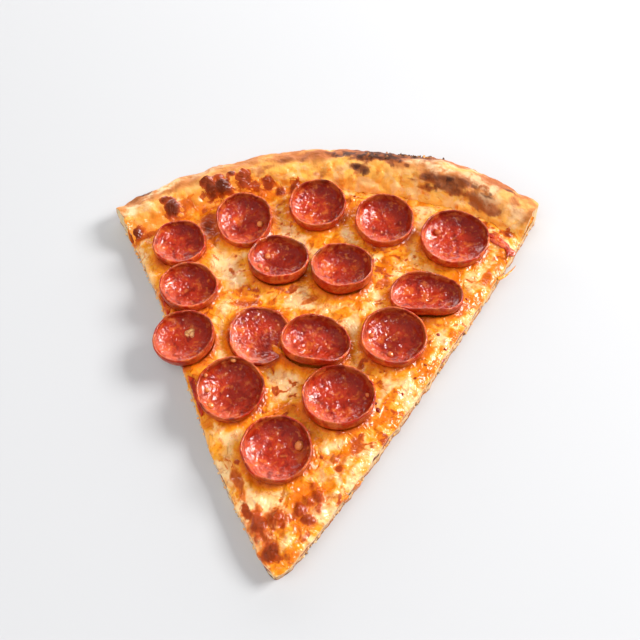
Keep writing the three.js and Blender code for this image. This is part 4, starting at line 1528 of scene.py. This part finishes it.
@dataclass
class Trimmings:
    """The small loose things on the slice, each kind one mesh."""

    dough: Dough
    pepperoni: Pepperoni
    beads: tuple[Bead, ...] = listed(
        Bead,
        (2, 0, 0.58, 1.7, 0.1), (16, 22, 0.7, 2.1, 0.3), (5, 142, 0.62, 1.6, 0.7), (14, 92, 0.99, 1.2),
        (14, 154, 0.97, 1.0, 0.2), (14, 180, 0.78, 1.3, 0.2), (14, 221, 0.8, 1.6),
        (6, 140, 0.6, 1.5, 0.1), (6, 193, 0.66, 1.3, 0.3), (6, 205, 0.45, 1.1, 0.4),
        (10, 262, 0.5, 1.4, 0.5), (10, 170, 0.72, 1.2, 0.4), (15, 15, 0.86, 1.1, 0.6),
        (13, 200, 0.9, 1.0, 0.3), (3, 300, 0.6, 0.8, 0.1),
    )
    crumb_scale: float = 0.62
    crumb_height: float = 0.4
    grain_count: int = 240
    noise: Noise = field(default_factory=lambda: Noise(61))

    def on_top(self, name: str, x: float, y: float) -> Array:
        """Where a line straight down through x and y, from the tip, first meets a piece."""
        place = np.array([x, y, ABOVE_ALL]) + self.dough.tip
        met, point, _, _ = bpy.data.objects[name].ray_cast(Vector(place) * MM, Vector((0, 0, -1)))
        return np.array(point) / MM if met else place * np.array([1, 1, 0])

    def fat_beads(self) -> list[Morsel]:
        """Beads of fat in the cups and on their rims."""
        found = []
        for bead in self.beads:
            cup = self.pepperoni.cups[f"pepperoni_cup_{bead.cup:02d}"]
            place = cup.inner_place(bead.degrees, bead.share) + np.array([0, 0, bead.radius * 0.3])
            radii = (bead.radius, bead.radius * 0.85, bead.radius * 0.7)
            found.append(Morsel(place, radii, 40.0 * bead.cup, 0.12, (("red", bead.red),)))
        return found

    def cheese_bits(self) -> list[Morsel]:
        """Scraps of cheese that lie on the pepperoni or stick out at the cuts."""
        cup = self.pepperoni.cups["pepperoni_cup_11"]
        pale, orange = (("gold", 0.2), ("toast", 0.4)), (("gold", 1.0), ("oil", 0.9))
        tip = self.dough.tip
        return [
            Morsel(cup.inner_place(79, 0.44), (2.4, 1.1, 0.9), -30, 0.5, pale),
            Morsel(cup.inner_place(60, 0.36), (1.2, 1.5, 0.8), 10, 0.5, pale),
            Morsel(cup.inner_place(96, 0.3), (1.5, 0.8, 0.7), 50, 0.5, pale),
            Morsel(tip + np.array([-9.4, 92.5, 12.5]), (3.2, 1.4, 1.5), 40, 0.35, orange),
            Morsel(tip + np.array([-6.9, 90.6, 12.0]), (2.4, 1.2, 1.2), 60, 0.35, orange),
            Morsel(tip + np.array([26.8, 38.0, 4.6]), (3.4, 1.5, 2.6), -30, 0.25, orange),
            Morsel(tip + np.array([22.8, 31.8, 4.8]), (2.6, 1.2, 2.0), -30, 0.25, orange),
            Morsel(tip + np.array([60.6, 98.6, 5.0]), (2.4, 0.7, 1.0), -25, 0.4, pale),
        ]

    def meat_bits(self) -> list[Morsel]:
        """Crumbs of pepperoni on the cheese, and the flush end of the buried slice."""
        places = (
            (34.4, 69.6, 2.4, 1.4, 60), (33.0, 72.5, 1.5, 1.0, 20), (58.2, 108.3, 1.5, 0.9, 10),
            (61.4, 101.7, 1.3, 0.9, 60), (70.2, 127.7, 1.2, 0.8, 30), (49.1, 85.9, 1.2, 0.9, 0),
            (53.1, 92.6, 1.0, 0.8, 40), (44.0, 78.0, 1.2, 0.8, 80), (17.5, 183.0, 1.2, 0.9, 0),
        )
        found = []
        for x, y, length in ((83.6, 161.4, 3.6), (87.2, 159.0, 3.6), (90.0, 155.8, 3.0)):
            middle = self.on_top("melted_cheese", x, y)
            found.append(Morsel(middle, (length, 2.2, 0.7), 40, 0.2, (("lit", 0.9),)))
        for x, y, length, width, turned in places:
            middle = self.on_top("melted_cheese", x, y)
            radii = (length * self.crumb_scale, width * self.crumb_scale, self.crumb_height)
            found.append(Morsel(middle, radii, turned, 0.6, (("inner", 0.35), ("char", 0.1))))
        return found

    def grains(self) -> list[Morsel]:
        """Semolina and crumbs of crust that cling along both cuts, near the underside."""
        draw = np.random.default_rng(19)
        plan, found = self.dough.plan, []
        for _ in range(self.grain_count):
            across = float(draw.integers(0, 2))
            distance = draw.uniform(0.04, 0.96) * plan.reach(np.array(across))
            x, y = plan.from_tip(np.array(across), distance)
            out = plan.outward(np.array(across)) * draw.uniform(0.0, 0.9)
            z = draw.uniform(0.4, 3.4) + draw.uniform(0, 3) * float(distance > 185)
            size = draw.uniform(0.25, 0.75)
            marks = (("crumb", draw.uniform(0, 0.8)), ("char", float(draw.uniform(0, 1) < 0.15) * 0.6))
            place = np.array([float(x), float(y), z]) + out + self.dough.tip
            found.append(Morsel(place, (size, size * 0.8, size * 0.7), draw.uniform(0, 180), 0.4, marks))
        return found

    def flakes(self) -> list[Morsel]:
        """Lumps of burnt crust along the top of the rim."""
        draw = np.random.default_rng(29)
        plan, found = self.dough.plan, []
        crowds = ((12.4, 3.4, 1.2, 14), (10.4, 5.2, 1.0, 8), (6.2, 8.0, 1.6, 5))
        for bearing, inset, spread, count in crowds:
            for _ in range(count):
                across = np.array(plan.across(bearing + draw.normal() * spread))
                distance = plan.reach(across) - inset - draw.normal() * 0.8
                x, y = plan.from_tip(across, distance)
                place = self.on_top("baked_dough", float(x), float(y))
                size = draw.uniform(0.35, 0.8)
                radii = (size * 2, size, size * 0.6)
                found.append(Morsel(place, radii, draw.uniform(0, 180), 0.6, (("char", 1.0),)))
        return found

    def string(self) -> Patch:
        """A thin string of cheese, pulled out at the right cut and stiff."""
        along = np.linspace(0, 1, 24)
        turn = np.linspace(0, 2 * np.pi, 10, endpoint=False)
        rise = 7.0 - 1.2 * along + 1.6 * along**3
        path = xyz(84.5 + 8.5 * along, 141.5 + 8.0 * along**1.5, rise)
        along, turn = np.meshgrid(along, turn, indexing="ij")
        width = 0.75 * (1 - along) ** 0.7 + 0.08
        ring = xyz(-0.6 * np.cos(turn), 0.8 * np.cos(turn), np.sin(turn))
        points = path[:, None, :] + ring * width[..., None] + self.dough.tip
        return Patch(points, {"gold": np.ones(along.shape), "oil": along * 0.8}, closed=True)

    def build(self, fat: RenderedFat) -> None:
        """Makes and dresses each kind."""
        materials = bpy.data.materials
        cheese, meat = materials["melted_mozzarella"], materials["cured_pepperoni"]
        dough = materials["baked_dough"]
        kinds = (
            ("fat_beads", self.fat_beads(), fat.material(), Slot.PEPPERONI),
            ("cheese_bits", self.cheese_bits(), cheese, Slot.CHEESE),
            ("pepperoni_crumbs", self.meat_bits(), meat, Slot.PEPPERONI),
            ("crust_grains", self.grains(), dough, Slot.DOUGH),
            ("charred_flakes", self.flakes(), dough, Slot.DOUGH),
        )
        for name, morsels, material, slot in kinds:
            settle(make_object(name, [m.patch(self.noise) for m in morsels], material), slot)
        settle(make_object("cheese_string", [self.string()], cheese), Slot.CHEESE)


# ---- Studio ----


@dataclass(frozen=True)
class Softbox:
    """A square studio light: where it stands from the slice's middle, its size and power, and
    whether glossy surfaces mirror it."""

    name: str
    place: tuple[float, float, float]
    width: float
    height: float
    power: float
    mirrored: bool = True

    def build(self) -> None:
        """Hangs the light so that it faces the slice."""
        lamp = bpy.data.lights.new(self.name, "AREA")
        lamp.shape = "RECTANGLE"
        lamp.size = self.width * MM
        lamp.size_y = self.height * MM
        lamp.energy = self.power
        holder = bpy.data.objects.new(self.name, lamp)
        holder.visible_glossy = self.mirrored
        holder.location = Vector(self.place) * MM
        holder.rotation_euler = (-holder.location).to_track_quat("-Z", "Y").to_euler()
        bpy.context.scene.collection.objects.link(holder)


@dataclass
class Studio:
    """A pale floor, soft light and the camera."""

    tip: Array
    lens: float = 50.0
    elevation: float = 57.0
    turned: float = 5.0
    camera_height: float = 332.8
    camera_aside: float = 25.3
    camera_back: float = 98.2
    floor_size: float = 6000.0
    world: str = "#F4F6FA"
    world_strength: float = 0.22
    lights: tuple[Softbox, ...] = (
        Softbox("key_softbox", (1000, 370, 810), 640, 500, 22.1),
        Softbox("back_softbox", (-60, 950, 250), 1400, 450, 9.0),
        Softbox("front_glint", (170, -430, 900), 90, 90, 0.4),
        Softbox("front_fill", (-520, -560, 1050), 1500, 1500, 14.7, mirrored=False),
    )

    def build(self) -> None:
        """Sets up the floor, the lights and the camera."""
        half = self.floor_size / 2
        corners = np.array([[[-half, -half, 0], [half, -half, 0]], [[-half, half, 0], [half, half, 0]]])
        floor = make_object("studio_floor", [Patch(corners.astype(float))], StudioPaper().material())
        for light in self.lights:
            light.build()
        world = bpy.data.worlds.new("studio")
        world.use_nodes = True
        background = world.node_tree.nodes["Background"]
        background.inputs["Color"].default_value = linear(self.world)
        background.inputs["Strength"].default_value = self.world_strength
        scene = bpy.context.scene
        scene.world = world
        scene.view_settings.view_transform = "Standard"
        camera = bpy.data.objects.new("camera", bpy.data.cameras.new("camera"))
        camera.data.lens = self.lens
        camera.data.clip_start = MM
        place = self.tip + np.array([self.camera_aside, -self.camera_back, self.camera_height])
        camera.location = Vector(place) * MM
        camera.rotation_euler = (math.radians(90 - self.elevation), 0, math.radians(self.turned))
        scene.collection.objects.link(camera)
        scene.camera = camera


def main() -> None:
    """Loads the frame, builds the slice piece by piece, and sets up the studio."""
    logging.basicConfig(level=logging.INFO, format="%(message)s")
    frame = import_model()
    plan = Plan()
    tip = plan.tip()
    dough = Dough(plan, tip)
    dough.build(BakedDough())
    Sauce(dough).build(CookedTomato())
    pepperoni = Pepperoni(frame["nodes"])
    pepperoni.build(CuredPepperoni())
    Cheese(dough, pepperoni).build(MeltedMozzarella())
    Trimmings(dough, pepperoni).build(RenderedFat())
    Studio(tip).build()


if __name__ == "__main__":
    main()
